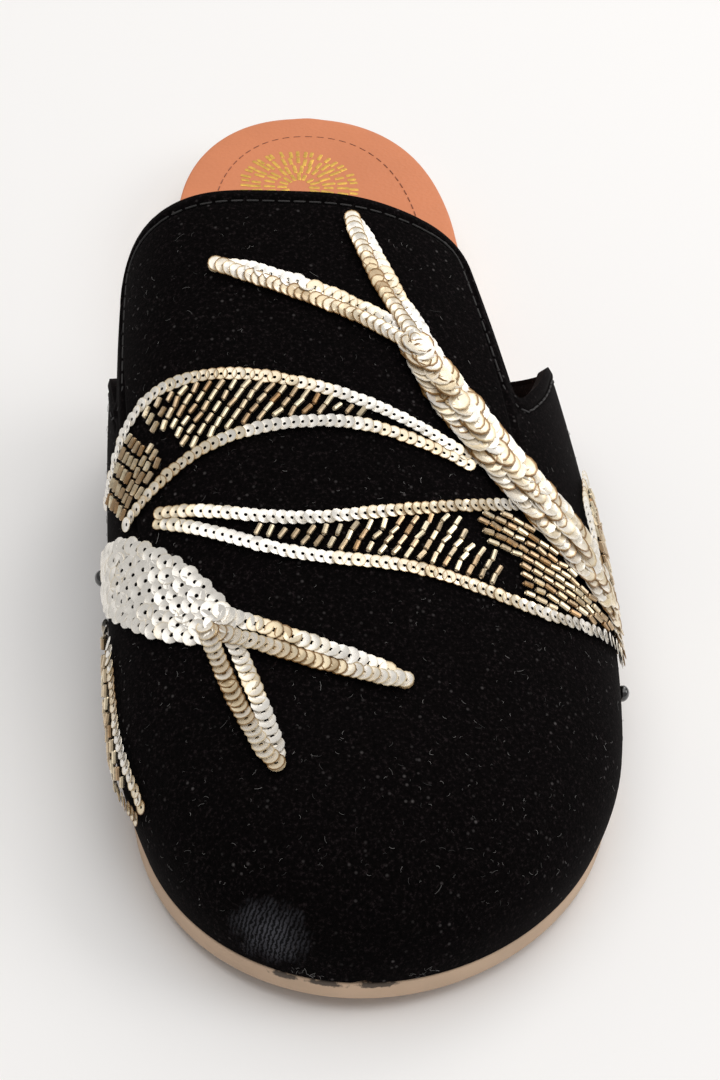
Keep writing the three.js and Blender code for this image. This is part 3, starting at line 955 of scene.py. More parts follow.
def seam_places():
    """Places of the topline's stitching, inside the edge all the way from one end to the other."""
    inset = settings().velvet.seam_inset / MM
    rows = []
    for side in (-1, 1):
        reach = TOPLINE_REACH[side]
        places = np.stack([reach, side * TOPLINE_SHARES * girth_at(reach, side)], -1)
        rows.append(places[:0:-1] if side < 0 else places)
    edge = np.concatenate(rows)
    inner = edge + inset * aside(edge)
    gap = np.linalg.norm(inner[:, None, :] - edge[None, ::4, :], axis=2).min(axis=1)
    lateral_room = girth_at(inner[:, 0], 1) - SEAM_SOLE_ROOM
    medial_room = girth_at(inner[:, 0], -1) - SEAM_SOLE_ROOM
    kept = (gap > inset * SEAM_SHARE) & (inner[:, 1] < lateral_room) & (inner[:, 1] > -medial_room)
    return inner[kept]


def stitch_template():
    """A stitch: a short round bar, bevelled at its ends, along X."""
    start_bar(sides=6)
    bpy.ops.object.mode_set(mode="EDIT")
    bpy.ops.mesh.select_all(action="SELECT")
    bpy.ops.mesh.bevel(offset=STITCH_BEVEL, segments=1, affect="EDGES")
    return template_arrays()


def lay_stitches(name, points, normals, stitch):
    """Stitches of one length and width, one at each point of a line."""
    length, width = stitch
    count = len(points)
    axes = tilted_axes(normals, np.gradient(points, axis=0), np.zeros(count))
    sizes = np.tile([length, width, width], (count, 1))
    stitches = copies(name, stitch_template(), points, axes, sizes, np.ones(count))
    smooth(stitches)
    return stitches


class MULE_OT_topline_stitches(bpy.types.Operator):
    """Sew along the topline"""

    bl_idname = "mule.topline_stitches"
    bl_label = "Topline stitches"

    def execute(self, context):
        places = evenly(seam_places(), settings().velvet.stitch_pitch / MM)
        points, normals, _ = vamp_frame(places)
        stitches = lay_stitches("topline_stitches", points, normals, TOPLINE_STITCH)
        finish_piece(stitches, "velvet", [seam_thread_finish])
        return {"FINISHED"}


LINT_SEED = 11
LINT_MARGIN = 3.0  # from the topline
LINT_ALONG = (8.0, 140.0)
LINT_SHARE = 0.86  # of the girth, to either side of the ridge
FRAY_COUNT = 26
FRAY_ALONG = (0.6, 2.2)
FRAY_SHARES = (0.86, 0.96)  # of the girth, just over the sole
LINT_LENGTH = (0.2, 0.6)
LINT_EXTRA = 0.3  # mean of what is added to a fibre's length, much to a few
LINT_TONES = (0.1, 1.0)  # before they are squared, which makes most of them dark
FRAY_LENGTH = (0.6, 1.6)
FRAY_TONES = (0.2, 0.7)
FIBRE_TILT = 0.15  # the most, up or down
FIBRE_WIDTH = 0.07
FIBRE_LIFT = 0.12
FIBRE_BOW = (2.2, 1.0)  # aside and up, in widths


def fibre_template():
    """A fine bowed fibre along X, of unit length."""
    start_bar(sides=3)
    bpy.ops.object.mode_set(mode="EDIT")
    for place in (-0.25, 0.0, 0.25):
        bpy.ops.mesh.select_all(action="SELECT")
        bpy.ops.mesh.bisect(plane_co=(place, 0, 0), plane_no=(1, 0, 0))
    corners, faces = template_arrays()
    bow = 1 - (2 * corners[:, 0]) ** 2
    bowed = corners + np.stack([np.zeros_like(bow), bow * FIBRE_BOW[0], bow * FIBRE_BOW[1]], -1)
    return bowed, faces


def places_at(along, shares):
    """Places at shares of the girth, medial ones negative."""
    girth = np.where(shares < 0, girth_at(along, -1), girth_at(along, 1))
    return np.stack([along, shares * girth], -1)


class MULE_OT_lint(bpy.types.Operator):
    """Scatter loose fibres in the pile and fray the velvet's lower edge at the toe"""

    bl_idname = "mule.lint"
    bl_label = "Lint and fray"

    def execute(self, context):
        rng = np.random.default_rng(LINT_SEED)
        count = settings().velvet.lint_count
        along = rng.uniform(*LINT_ALONG, count)
        shares = rng.uniform(-LINT_SHARE, LINT_SHARE, count)
        reach = [np.interp(np.abs(shares), TOPLINE_SHARES, TOPLINE_REACH[side]) for side in (-1, 1)]
        on_velvet = along < np.where(shares < 0, *reach) - LINT_MARGIN
        lint_places = places_at(along[on_velvet], shares[on_velvet])
        count = len(lint_places)
        length = rng.uniform(*LINT_LENGTH, count) + rng.exponential(LINT_EXTRA, count)
        tone = rng.uniform(*LINT_TONES, count) ** 2
        fray_along = rng.uniform(*FRAY_ALONG, FRAY_COUNT)
        fray_shares = rng.uniform(*FRAY_SHARES, FRAY_COUNT) * rng.choice([-1, 1], FRAY_COUNT)
        places = np.concatenate([lint_places, places_at(fray_along, fray_shares)])
        length = np.append(length, rng.uniform(*FRAY_LENGTH, FRAY_COUNT))
        tone = np.append(tone, rng.uniform(*FRAY_TONES, FRAY_COUNT))
        points, normals, back = vamp_frame(places)
        heading = rng.uniform(0, 2 * math.pi, len(points))
        forward = back * np.cos(heading)[:, None] + np.cross(normals, back) * np.sin(heading)[:, None]
        axes = tilted_axes(normals, forward, rng.uniform(-FIBRE_TILT, FIBRE_TILT, len(points)))
        width = np.full(len(points), FIBRE_WIDTH)
        sizes = np.stack([length, width, width], -1)
        lint = copies("lint_fibres", fibre_template(), points + normals * FIBRE_LIFT, axes, sizes, tone)
        smooth(lint, degrees=80)
        finish_piece(lint, "velvet", [lint_finish])
        return {"FINISHED"}


# Sole and insole

TOE_STATIONS = 70
WAIST_STATIONS = 260
HEEL_STATIONS = 76
SOLE_LANES = np.linspace(-0.96, 0.96, 25)  # shares of the way out across the sole's flats
SOLE_TOP_ROUND = 0.5
SOLE_EDGE_STEPS = 5
SOLE_TOP_STEPS = 4
TREAD_ZONES = ((20.0, 98.0), (197.0, 234.0))
TREAD_ZONE_END = 0.5  # length over which the grooves start and stop
TREAD_PERIOD = 4.6
TREAD_GROOVE = 0.38  # share of the period
TREAD_WALL = 0.12  # half the width of a groove's wall, as a share of half the period
TREAD_MARGIN = 0.84  # share of the half-width that is grooved


def sole_stations():
    turn = np.linspace(0, math.pi / 2, TOE_STATIONS, endpoint=False)
    toe = TOE_CAP_LENGTH * (1 - np.cos(turn))
    heel_start = LENGTH - HEEL_CAP_LENGTH
    waist = np.linspace(TOE_CAP_LENGTH, heel_start, WAIST_STATIONS, endpoint=False)
    heel = heel_start + HEEL_CAP_LENGTH * np.sin(np.linspace(0, math.pi / 2, HEEL_STATIONS))
    return np.concatenate([toe, waist, heel])


def slab_loop(stations, layers):
    """A closed loop of points at each station. A layer is (inset, height, spread): its edge is drawn in by
    inset, and its point is a share of the way out to that edge."""
    columns = []
    for inset, height, spread in layers:
        near_toe = float(inset(np.zeros(1))[0])
        near_heel = float(inset(np.full(1, LENGTH))[0])
        along = near_toe + stations / LENGTH * (LENGTH - near_toe - near_heel)
        side = "medial" if spread < 0 else "lateral"
        across = spread * half_width(side, along, inset(along))
        columns.append(np.stack([across, along, height(along, spread)], -1))
    columns.append(columns[0])
    return np.stack(columns, 1)


def constant(value):
    return lambda along: np.full_like(along, value)


def lower_turn(side):
    """Layers that turn the sole's lower edge, from its underside to its wall."""
    layers = []
    for angle in np.linspace(0, math.pi / 2, SOLE_EDGE_STEPS):
        draw = SOLE_EDGE_ROUND * (1 - math.sin(angle))
        lift = SOLE_EDGE_ROUND * (1 - math.cos(angle))
        layers.append((constant(draw), lambda along, _, lift=lift: sole_bottom(along) + lift, side))
    return layers


def upper_turn(side):
    """Layers that turn the sole's upper edge, from its top to its wall."""
    layers = []
    for angle in np.linspace(0, math.pi / 2, SOLE_TOP_STEPS):
        draw = SOLE_TOP_ROUND * (1 - math.sin(angle))
        drop = SOLE_TOP_ROUND * (1 - math.cos(angle))
        layers.append((constant(draw), lambda along, _, drop=drop: sole_top(along) - drop, side))
    return layers


def tread(along, spread):
    """Height of the sole's underside, with grooves across the forepart and the heel."""
    depth = settings().leather.tread_depth / MM
    phase = np.abs((along / TREAD_PERIOD) % 1.0 - 0.5) * 2
    groove = smoothstep(phase, 1 - TREAD_GROOVE - TREAD_WALL, 1 - TREAD_GROOVE + TREAD_WALL)
    zone = 0
    for start, end in TREAD_ZONES:
        begun = smoothstep(along, start, start + TREAD_ZONE_END)
        zone = zone + begun * (1 - smoothstep(along, end - TREAD_ZONE_END, end))
    return sole_bottom(along) + depth * groove * zone * float(abs(spread) < TREAD_MARGIN)


def outsole_points():
    def flat_top(along, _):
        return sole_top(along)

    bottom = [(constant(SOLE_EDGE_ROUND), tread, spread) for spread in SOLE_LANES]
    top = [(constant(SOLE_TOP_ROUND), flat_top, spread) for spread in SOLE_LANES[::-3]]
    lateral = lower_turn(1.0) + upper_turn(1.0)[::-1]
    medial = upper_turn(-1.0) + lower_turn(-1.0)[::-1]
    return slab_loop(sole_stations(), bottom + lateral + top + medial)


class MULE_OT_outsole(bpy.types.Operator):
    """Build the sole with its low heel and grooved underside"""

    bl_idname = "mule.outsole"
    bl_label = "Outsole"

    def execute(self, context):
        sole = shaped_grid("sole_unit", outsole_points())
        close_mesh(sole)
        smooth(sole, degrees=35)
        finish_piece(sole, "sole", [sole_finish], "outsole")
        return {"FINISHED"}


INSOLE_FRONT_INSET = 2.3
INSOLE_OPENING = (161.0, 172.0)  # where the insole widens to the sole's edge behind the wings
INSOLE_LANES = np.linspace(-0.94, 0.94, 25)
INSOLE_PUFF = 0.35  # how much its middle stands over its edges
INSOLE_EDGE_STEPS = 5


def insole_inset(along):
    return INSOLE_FRONT_INSET - (INSOLE_FRONT_INSET - GAP) * smoothstep(along, *INSOLE_OPENING)


def insole_base(along, _=None):
    return sole_top(along) + GAP


def insole_top(along):
    return insole_base(along) + INSOLE_THICKNESS


def insole_layer(extra, height, spread):
    return (lambda along: insole_inset(along) + extra, height, spread)


def insole_wall(side):
    """Layers from the insole's underside up its wall and round to its top."""
    layers = [insole_layer(0, insole_base, side)]
    for angle in np.linspace(0, math.pi / 2, INSOLE_EDGE_STEPS):
        draw = INSOLE_EDGE_ROUND * (1 - math.cos(angle))
        drop = INSOLE_EDGE_ROUND * (1 - math.sin(angle))
        height = lambda along, _, drop=drop: insole_top(along) - INSOLE_PUFF - drop
        layers.append(insole_layer(draw, height, side))
    return layers


def insole_points():
    def crown(along, spread):
        return insole_top(along) + INSOLE_PUFF * (1 - spread**4) - INSOLE_PUFF

    bottom = [insole_layer(0, insole_base, spread) for spread in INSOLE_LANES[::4]]
    top = [insole_layer(INSOLE_EDGE_ROUND, crown, spread) for spread in INSOLE_LANES[::-1]]
    return slab_loop(sole_stations(), bottom + insole_wall(1.0) + top + insole_wall(-1.0)[::-1])


class MULE_OT_insole(bpy.types.Operator):
    """Build the leather insole"""

    bl_idname = "mule.insole"
    bl_label = "Insole"

    def execute(self, context):
        insole = shaped_grid("leather_insole", insole_points())
        close_mesh(insole)
        smooth(insole, degrees=50)
        finish_piece(insole, "insole_leather", [insole_finish], "insole")
        return {"FINISHED"}


HEEL_STITCH = (1.6, 0.26)  # length and width
HEEL_STITCH_PITCH = 2.6
HEEL_SEAM_START = 166.0
HEEL_SEAM_BEND = 204.0  # the seam starts to turn round the heel here
HEEL_SEAM_TURN = 1.57  # radians, just short of a quarter turn
HEEL_SEAM_STEPS = (60, 160)  # on the straight part and round the heel


def heel_seam():
    """Points of the seam round the insole's heel, inside its edge."""
    inset = settings().leather.seam_inset / MM
    straight = np.linspace(HEEL_SEAM_START, HEEL_SEAM_BEND, HEEL_SEAM_STEPS[0])
    turn = np.sin(np.linspace(0, HEEL_SEAM_TURN, HEEL_SEAM_STEPS[1]))
    along = np.concatenate([straight, HEEL_SEAM_BEND + (LENGTH - inset - HEEL_SEAM_BEND) * turn])
    medial = np.stack([-half_width("medial", along, inset), along], -1)
    lateral = np.stack([half_width("lateral", along, inset), along], -1)
    loop = np.concatenate([medial, lateral[::-1]])
    walked = walk(loop)
    flat = points_at(np.arange(0, walked[-1], HEEL_STITCH_PITCH), walked, loop)
    return np.concatenate([flat, insole_top(flat[:, 1])[:, None]], 1)


def upright(count):
    return np.tile([0.0, 0.0, 1.0], (count, 1))


class MULE_OT_heel_stitches(bpy.types.Operator):
    """Sew round the insole's heel"""

    bl_idname = "mule.heel_stitches"
    bl_label = "Heel stitches"

    def execute(self, context):
        seam = heel_seam()
        stitches = lay_stitches("heel_stitches", seam, upright(len(seam)), HEEL_STITCH)
        finish_piece(stitches, "insole_leather", [heel_thread_finish])
        return {"FINISHED"}


FOIL_SEED = 5
FOIL_CENTRE = (-3.0, 219.0)
FOIL_RINGS = (
    # radius, stroke length and count
    (3.6, 2.6, 16),
    (6.6, 2.8, 26),
    (9.6, 2.8, 36),
    (12.2, 2.2, 44),
)
FOIL_WIDTH = 0.95
FOIL_THICKNESS = 0.1
FOIL_LIFT = 0.02
FOIL_TURN_SPREAD = 0.03  # radians
FOIL_RADIUS_SPREAD = 0.2
FOIL_LENGTHS = (0.75, 1.1)  # shares of a ring's stroke length


def foil_rosette():
    """Short strokes of foil in uneven rings."""
    strokes = []
    rng = np.random.default_rng(FOIL_SEED)
    for radius, length, count in FOIL_RINGS:
        for k in range(count):
            angle = 2 * math.pi * k / count + rng.normal(0, FOIL_TURN_SPREAD)
            out = np.array([math.cos(angle), math.sin(angle)])
            centre = np.array(FOIL_CENTRE) + out * (radius + rng.normal(0, FOIL_RADIUS_SPREAD))
            strokes.append((*centre, *out, length * rng.uniform(*FOIL_LENGTHS)))
    x, y, out_x, out_y, lengths = np.array(strokes).T
    count = len(strokes)
    places = np.stack([x, y, insole_top(y) + FOIL_LIFT], -1)
    forward = np.stack([out_x, out_y, np.zeros(count)], -1)
    sizes = np.stack([lengths, np.full(count, FOIL_WIDTH), np.full(count, FOIL_THICKNESS)], -1)
    axes = tilted_axes(upright(count), forward, np.zeros(count))
    return copies("foil_rosette", stitch_template(), places, axes, sizes, np.ones(count))


class MULE_OT_foil_rosette(bpy.types.Operator):
    """Stamp a plain foil rosette on the insole's heel"""

    bl_idname = "mule.foil_rosette"
    bl_label = "Foil rosette"

    def execute(self, context):
        finish_piece(foil_rosette(), "insole_leather", [foil_finish])
        return {"FINISHED"}


# The birds

LIFT = 0.35  # from the velvet to what is sewn on it
SEQUIN_SEED = 23
SEQUIN_CUP = ((0.8, -0.06), (0.3, -0.06))  # each ring's share of the last one's radius, and its drop
SEQUIN_THICKNESS = 0.07  # share of the radius
SEQUIN_SEAT = 0.17  # room for the cup under the rim, as a share of the radius
RIM_FROM = 0.95  # share of a sequin's radius where its rim starts
SEQUIN_TILT_SPREAD = 0.04
SEQUIN_ROLL_SPREAD = 0.07
SEQUIN_SIZES = (0.96, 1.04)  # shares of a row's diameter
SEQUIN_TONE_SPREAD = 0.07


def sequin_template():
    """A cupped sequin of unit radius with a narrow rim and a hole, modelled from a circle."""
    deselect()
    bpy.ops.mesh.primitive_circle_add(vertices=12, radius=1.0, fill_type="NOTHING")
    bpy.ops.object.mode_set(mode="EDIT")
    for shrink, drop in SEQUIN_CUP:
        bpy.ops.mesh.extrude_region_move()
        bpy.ops.transform.resize(value=(shrink, shrink, 1))
        bpy.ops.transform.translate(value=(0, 0, drop))
    bpy.ops.mesh.select_all(action="SELECT")
    bpy.ops.mesh.normals_make_consistent(inside=False)
    bpy.ops.object.mode_set(mode="OBJECT")
    apply_modifier(bpy.context.object, "SOLIDIFY", thickness=SEQUIN_THICKNESS, offset=-1.0)
    return template_arrays()


def lay_sequins(name, rows, seed):
    """One mesh of sequins; a row is (places, forward, diameter, tilt, face tones, rim tones, rise)."""
    rng = np.random.default_rng(seed)
    template = sequin_template()
    on_rim = np.hypot(template[0][:, 0], template[0][:, 1]) > RIM_FROM
    gathered = [[], [], [], []]
    for places, forward, diameter, tilt, faces, rims, rise in rows:
        points, normals, _ = vamp_frame(places)
        count = len(places)
        lean = tilt + rng.normal(0, SEQUIN_TILT_SPREAD, count)
        sideways = rng.normal(0, SEQUIN_ROLL_SPREAD, count)
        axes = tilted_axes(normals, forward, lean, sideways)
        radius = diameter / 2 * rng.uniform(*SEQUIN_SIZES, count)
        lift = LIFT + rise + radius * np.abs(np.sin(lean)) + radius * SEQUIN_SEAT
        change = rng.normal(0, SEQUIN_TONE_SPREAD, count)
        tones = np.where(on_rim, (rims + change)[:, None], (faces + change)[:, None])
        gathered[0].append(points + normals * lift[:, None])
        gathered[1].append(axes)
        gathered[2].append(np.repeat(radius[:, None], 3, 1))
        gathered[3].append(np.clip(tones, 0, 1))
    piece = copies(name, template, *(np.concatenate(part) for part in gathered))
    smooth(piece, degrees=30)
    return piece


LINE_STEPS = np.linspace(0, 1, 200)  # shares along a row or a body where its curve is taken
ROW_WAVE = 9.0  # radians of slow change from a row's start to its end
ROW_PHASE = 7.0  # times a row's tilt, so that rows of unlike tilt don't change together
ROW_TILT_WAVE = 0.1
# Tones of a row's sequins: when plain, the change with gilding, and the change along the row.
# Rim tones that fall low take the dark rim colour, painted shade between the overlapping sequins.
ROW_FACE = (0.9, -0.3, 0.2)
ROW_RIM = (0.7, -1.0, 0.35)


def row_along(route, pitch, diameter, tilt, gilding_and_gap_shade, shift=0.0):
    """A row of sequins along a curve through places, moved aside by shift, with a slow change of tilt and
    tone; gilding takes it towards gold, most of all at its rims, which it darkens into painted shade between
    the sequins."""
    centre = spline(route, LINE_STEPS)
    centre = centre + aside(centre) * np.broadcast_to(shift, LINE_STEPS.shape)[:, None]
    places = evenly(centre, pitch)
    forward = np.gradient(vamp_point(places), axis=0)
    wave = np.sin(np.linspace(0, ROW_WAVE, len(places)) + ROW_PHASE * tilt + centre[0, 0])
    faces, rims = (plain + gilded * gilding_and_gap_shade + along * wave for plain, gilded, along in (ROW_FACE, ROW_RIM))
    return places, forward, diameter, tilt + ROW_TILT_WAVE * wave, faces, rims, 0.0


def body_line(bird, t):
    """Places down a bird's body from its tail to its head, and its width there."""
    return spline(bird["body"], t), spline_values(bird["body_widths"], t)


# Scales of a body; the first three are shares of their diameter
SCALE_PITCH = 0.56  # from row to row
SCALE_SPACING = 0.62  # from scale to scale in a row
SCALE_INSET = 0.8  # how much narrower the rows' middles are than the body
SCALE_STAGGER = 0.4  # every other row is drawn in by this share of one scale's room
SCALE_TILT = 0.14
SCALE_RIM = 0.85


def body_scales(bird, diameter):
    """Scales across a bird's body, laid from its tail to its head."""
    route, widths = body_line(bird, LINE_STEPS)
    places = evenly(route, diameter * SCALE_PITCH)
    across = aside(places)
    forward = np.gradient(vamp_point(places), axis=0)
    rows = []
    for k, place in enumerate(places):
        nearest = np.argmin(np.linalg.norm(route - place, axis=1))
        room = max(widths[nearest] - diameter * SCALE_INSET, 0.0)
        count = max(1, int(round(room / (diameter * SCALE_SPACING))) + 1 - (k % 2) * (room > diameter))
        spots = np.linspace(-room / 2, room / 2, count) if count > 1 else np.zeros(1)
        if k % 2 and count > 1:
            spots = spots * (count - SCALE_STAGGER) / count
        here = place + across[k] * spots[:, None]
        tones = np.ones(count)
        ahead = np.repeat(forward[k][None], count, 0)
        rows.append((here, ahead, diameter, SCALE_TILT, tones, tones * SCALE_RIM, 0.0))
    return rows


STACK_COLUMNS = (1, -1, 0)  # the side of each column, with the middle one laid last
STACK_PITCH = 1.5
STACK_GROUP = 7.5  # from one group of darkened gilt rims, painted shade between the stacked sequins, to the next in a column
STACK_FADE = 0.4  # how far a group's wave rises from plain rims to gilt ones in painted shade
STACK_TILT = 0.13
STACK_RISE = 0.4  # of the middle column over the others
STACK_FACE = 0.72  # tone of the rims between the groups of gilt, shaded rims
STACK_RIM = 0.85  # tone of the rims between the golden groups
HEAD_FROM = 0.72  # share of the body where the sequins start to get smaller towards the head
HEAD_SEQUIN = 0.55  # share of the full diameter at the head's end


def body_stacks(bird, diameter):
    """Three columns of close sequins down a bird's body, with groups of dark gilt rims by turns across it,
    painted shade between the stacked sequins.
    """
    route, widths = body_line(bird, LINE_STEPS)
    across = aside(route)
    rows = []
    for k, side in enumerate(STACK_COLUMNS):
        centre = route + across * (side * np.maximum(widths - diameter, 0) / 2)[:, None]
        places = evenly(centre, STACK_PITCH)
        forward = np.gradient(vamp_point(places), axis=0)
        turns = np.arange(len(places)) * STACK_PITCH / STACK_GROUP + k / len(STACK_COLUMNS)
        # Each group's rims go to the dark rim colour, gold with painted shade between the stacked sequins
        gilt_and_gap_shade = smoothstep(np.sin(2 * math.pi * turns), 0.0, STACK_FADE)
        faces = np.full(len(places), STACK_FACE)
        sizes = diameter * np.interp(np.linspace(0, 1, len(places)), (HEAD_FROM, 1), (1, HEAD_SEQUIN))
        rise = 0.0 if side else STACK_RISE
        rows.append((places, forward, sizes, STACK_TILT, faces, STACK_RIM * (1 - gilt_and_gap_shade), rise))
    return rows


PALE_TAIL_ROW = (0.12, 1.2)  # tilt, and pitch as a share of the tail pitch
GOLDEN_TAIL_ROW = (0.26, 1.0)
TAIL_ROOM = 0.8  # the least distance between the middles of a tail's two rows, up to where they join
TAIL_JOIN = 0.85  # share of a tail's length where its rows start to run together


def tail_rows(bird, group):
    """Two rows of close sequins down each tail, one paler than the other."""
    rows = []
    diameter = group.tail_sequin / MM
    pale = bird["pale_row"]
    for route, widths in bird["tails"]:
        room = np.maximum(spline_values(widths, LINE_STEPS) - diameter, TAIL_ROOM)
        apart = 1 - smoothstep(LINE_STEPS, TAIL_JOIN, 1.0)
        for sign, (tilt, spacing), gilding_and_gap_shade in (
            (pale, PALE_TAIL_ROW, 0.0), (-pale, GOLDEN_TAIL_ROW, bird["gilding_and_gap_shade"]),
        ):
            pitch = group.tail_pitch / MM * spacing
            rows.append(row_along(route, pitch, diameter, tilt, gilding_and_gap_shade, sign * room / 2 * apart))
    return rows


class MULE_OT_bird_bodies(bpy.types.Operator):
    """Cover the bodies and forked tails with overlapping sequins"""

    bl_idname = "mule.bird_bodies"
    bl_label = "Bird bodies"

    def execute(self, context):
        group = settings().embroidery
        for k, (name, bird) in enumerate(BIRDS.items()):
            diameter = group.large_sequin / MM * bird["scale"]
            body = body_stacks(bird, diameter) if bird["stacked"] else body_scales(bird, diameter)
            rows = tail_rows(bird, group) + body
            piece = lay_sequins(f"{name}_body_sequins", rows, SEQUIN_SEED + k)
            finish_piece(piece, "sequins", [sequin_finish], f"{name}_body")
        return {"FINISHED"}


WINGS = ("inner_wing", "outer_wing")
BORDER_SEED = 33
BORDER_TILTS = (0.12, 0.24)  # by turns
# Border rims dip into the dark rim colour in stretches: gold with painted shade between the sequins
BORDER_GILDING_AND_GAP_SHADE = 0.15


class MULE_OT_wing_borders(bpy.types.Operator):
    """Edge the wings with single rows of sequins"""

    bl_idname = "mule.wing_borders"
    bl_label = "Wing borders"

    def execute(self, context):
        group = settings().embroidery
        pitch = group.border_pitch / MM
        diameter = group.small_sequin / MM
        for k, (name, bird) in enumerate(BIRDS.items()):
            for m, part in enumerate(WINGS):
                rows = []
                for n, edge in enumerate(bird[part]):
                    rows.append(row_along(edge, pitch, diameter, BORDER_TILTS[(k + n) % 2], BORDER_GILDING_AND_GAP_SHADE))
                piece = lay_sequins(f"{name}_{part}_border", rows, BORDER_SEED + 2 * k + m)
                finish_piece(piece, "sequins", [sequin_finish])
        return {"FINISHED"}


BEAD_BEVEL = 0.14  # width of an end's bevel
BEAD_END = 1.14  # length of the bead with its bevelled ends
BEAD_RIM = 0.12  # width of the ring round the hole
BEAD_SINK = 0.8  # how far out the holes' floors are, as a share of the ends


def bead_template():
    """A tube bead of unit width along X, with bevelled ends and a sunk hole in each."""
    select_faces(start_bar(sides=8), lambda face: abs(face.normal.x) > 0.9)
    bpy.ops.mesh.inset(thickness=BEAD_BEVEL)
    bpy.ops.transform.resize(value=(BEAD_END, 1, 1))
    bpy.ops.mesh.inset(thickness=BEAD_RIM)
    bpy.ops.transform.resize(value=(BEAD_SINK, 1, 1))
    return template_arrays()


# Strings of beads in a wing, in groups: from and to are shares along the wing from the body; heading is the
# strings' direction on the vamp, in degrees from lateral towards the heel; pitch is a share of the string
# pitch
STRINGS = {
    "medial_bird_inner_wing": (
        {"from": 0.0, "to": 0.22, "heading": 40, "pitch": 0.9},
        {"from": 0.28, "to": 0.97, "heading": 50, "pitch": 0.95},
    ),
    "lateral_bird_inner_wing": (
        {"from": 0.0, "to": 0.3, "heading": -8, "pitch": 0.92},
        {"from": 0.34, "to": 0.96, "heading": 56, "pitch": 1.0},
    ),
    "medial_bird_outer_wing": ({"from": 0.03, "to": 0.95, "heading": 50, "pitch": 1.0},),
    "lateral_bird_outer_wing": ({"from": 0.03, "to": 0.95, "heading": -50, "pitch": 1.0},),
}
BEAD_SPACING = 1.12  # from bead to bead, as a share of a bead's length
BORDER_ROOM = 1.5  # from a border's thread to the nearest string
BODY_ROOM = 0.8  # from a body's edge to the nearest string
STRING_STEP = 0.15  # between the places that are tried along a string
BORDER_STEPS = np.linspace(0, 1, 160)  # shares along a wing where its borders are taken
BODY_STEPS = np.linspace(0, 1, 120)  # and along a body
HEADING_STEP = 0.4  # ahead of a bead, to the place that it points to
BEAD_SEED = 41
BEAD_TURN_SPREAD = 0.11
BEAD_TILT_SPREAD = 0.08
BEAD_RISE = 0.15  # the most that a bead stands higher than the lowest ones
BEAD_LENGTHS = (0.86, 1.08)  # shares of the bead length
BEAD_WIDTHS = (0.92, 1.08)  # shares of the bead width
BEAD_TONES = (1.6, 1.3)  # of a beta spread, with a few more golden beads than bronze ones


def string_runs(wing, strings, pitch):
    """Places along each string of a group, as separate runs that stay between the wing's borders."""
    heel_side = spline(wing[0], BORDER_STEPS)
    toe_side = spline(wing[1], BORDER_STEPS)
    border = np.concatenate([heel_side, toe_side])
    shares = np.concatenate([BORDER_STEPS, BORDER_STEPS])
    angle = math.radians(strings["heading"])
    ahead = np.array([math.sin(angle), math.cos(angle)])
    sideways = np.array([-ahead[1], ahead[0]])
    lengths = border @ ahead
    widths = border @ sideways
    steps = np.arange(lengths.min(), lengths.max(), STRING_STEP)
    loop = np.concatenate([heel_side, toe_side[::-1]])
    runs = []
    for across in np.arange(widths.min() + pitch / 2, widths.max(), pitch):
        places = steps[:, None] * ahead + across * sideways
        gaps = np.linalg.norm(places[:, None, :] - border[None], axis=2)
        share = shares[gaps.argmin(axis=1)]
        kept = inside_loop(places, loop) & (gaps.min(axis=1) > BORDER_ROOM)
        kept &= (share >= strings["from"]) & (share <= strings["to"])
        edges = np.flatnonzero(np.diff(np.concatenate([[0], kept.astype(int), [0]])))
        runs += [places[a:b] for a, b in zip(edges[::2], edges[1::2])]
    return runs


def inside_loop(places, loop):
    """Whether places lie inside a closed loop of places."""
    x = places[:, None, 0]
    y = places[:, None, 1]
    one = loop[None]
    two = np.roll(loop, -1, axis=0)[None]
    crosses = (one[..., 1] > y) != (two[..., 1] > y)
    rise = np.where(two[..., 1] == one[..., 1], 1e-9, two[..., 1] - one[..., 1])
    at = one[..., 0] + (y - one[..., 1]) / rise * (two[..., 0] - one[..., 0])
    return (crosses & (x < at)).sum(axis=1) % 2 == 1


def clear_of_body(places, bird):
    """Whether places lie outside a bird's body."""
    route, widths = body_line(bird, BODY_STEPS)
    gaps = np.linalg.norm(places[:, None, :] - route[None], axis=2) - widths / 2
    return gaps.min(axis=1) > BODY_ROOM


def bead_places(wing, groups, pitch, spacing):
    """Places of the beads in a wing and the heading of each, in degrees."""
    places = []
    headings = []
    for strings in groups:
        for run in string_runs(wing, strings, pitch * strings["pitch"]):
            count = int(len(run) * STRING_STEP / spacing)
            for k in range(count):
                places.append(run[int((k + 0.5) * len(run) / count)])
            headings.extend([strings["heading"]] * count)
    return np.array(places), headings


def lay_beads(name, template, places, angles, rng):
    """One mesh of tube beads at places, turned to angles, each a little uneven."""
    group = settings().embroidery
    width = group.bead_width / MM
    points, normals, _ = vamp_frame(places)
    ahead = np.stack([np.sin(angles), np.cos(angles)], -1)
    forward = vamp_point(places + ahead * HEADING_STEP) - points
    count = len(points)
    axes = tilted_axes(normals, forward, rng.normal(0, BEAD_TILT_SPREAD, count))
    points = points + normals * (LIFT + width / 2 + rng.uniform(0, BEAD_RISE, count))[:, None]
    long = group.bead_length / MM * rng.uniform(*BEAD_LENGTHS, count)
    wide = width * rng.uniform(*BEAD_WIDTHS, count)
    tones = rng.beta(*BEAD_TONES, count)
    beads = copies(name, template, points, axes, np.stack([long, wide, wide], -1), tones)
    smooth(beads, degrees=35)
    return beads


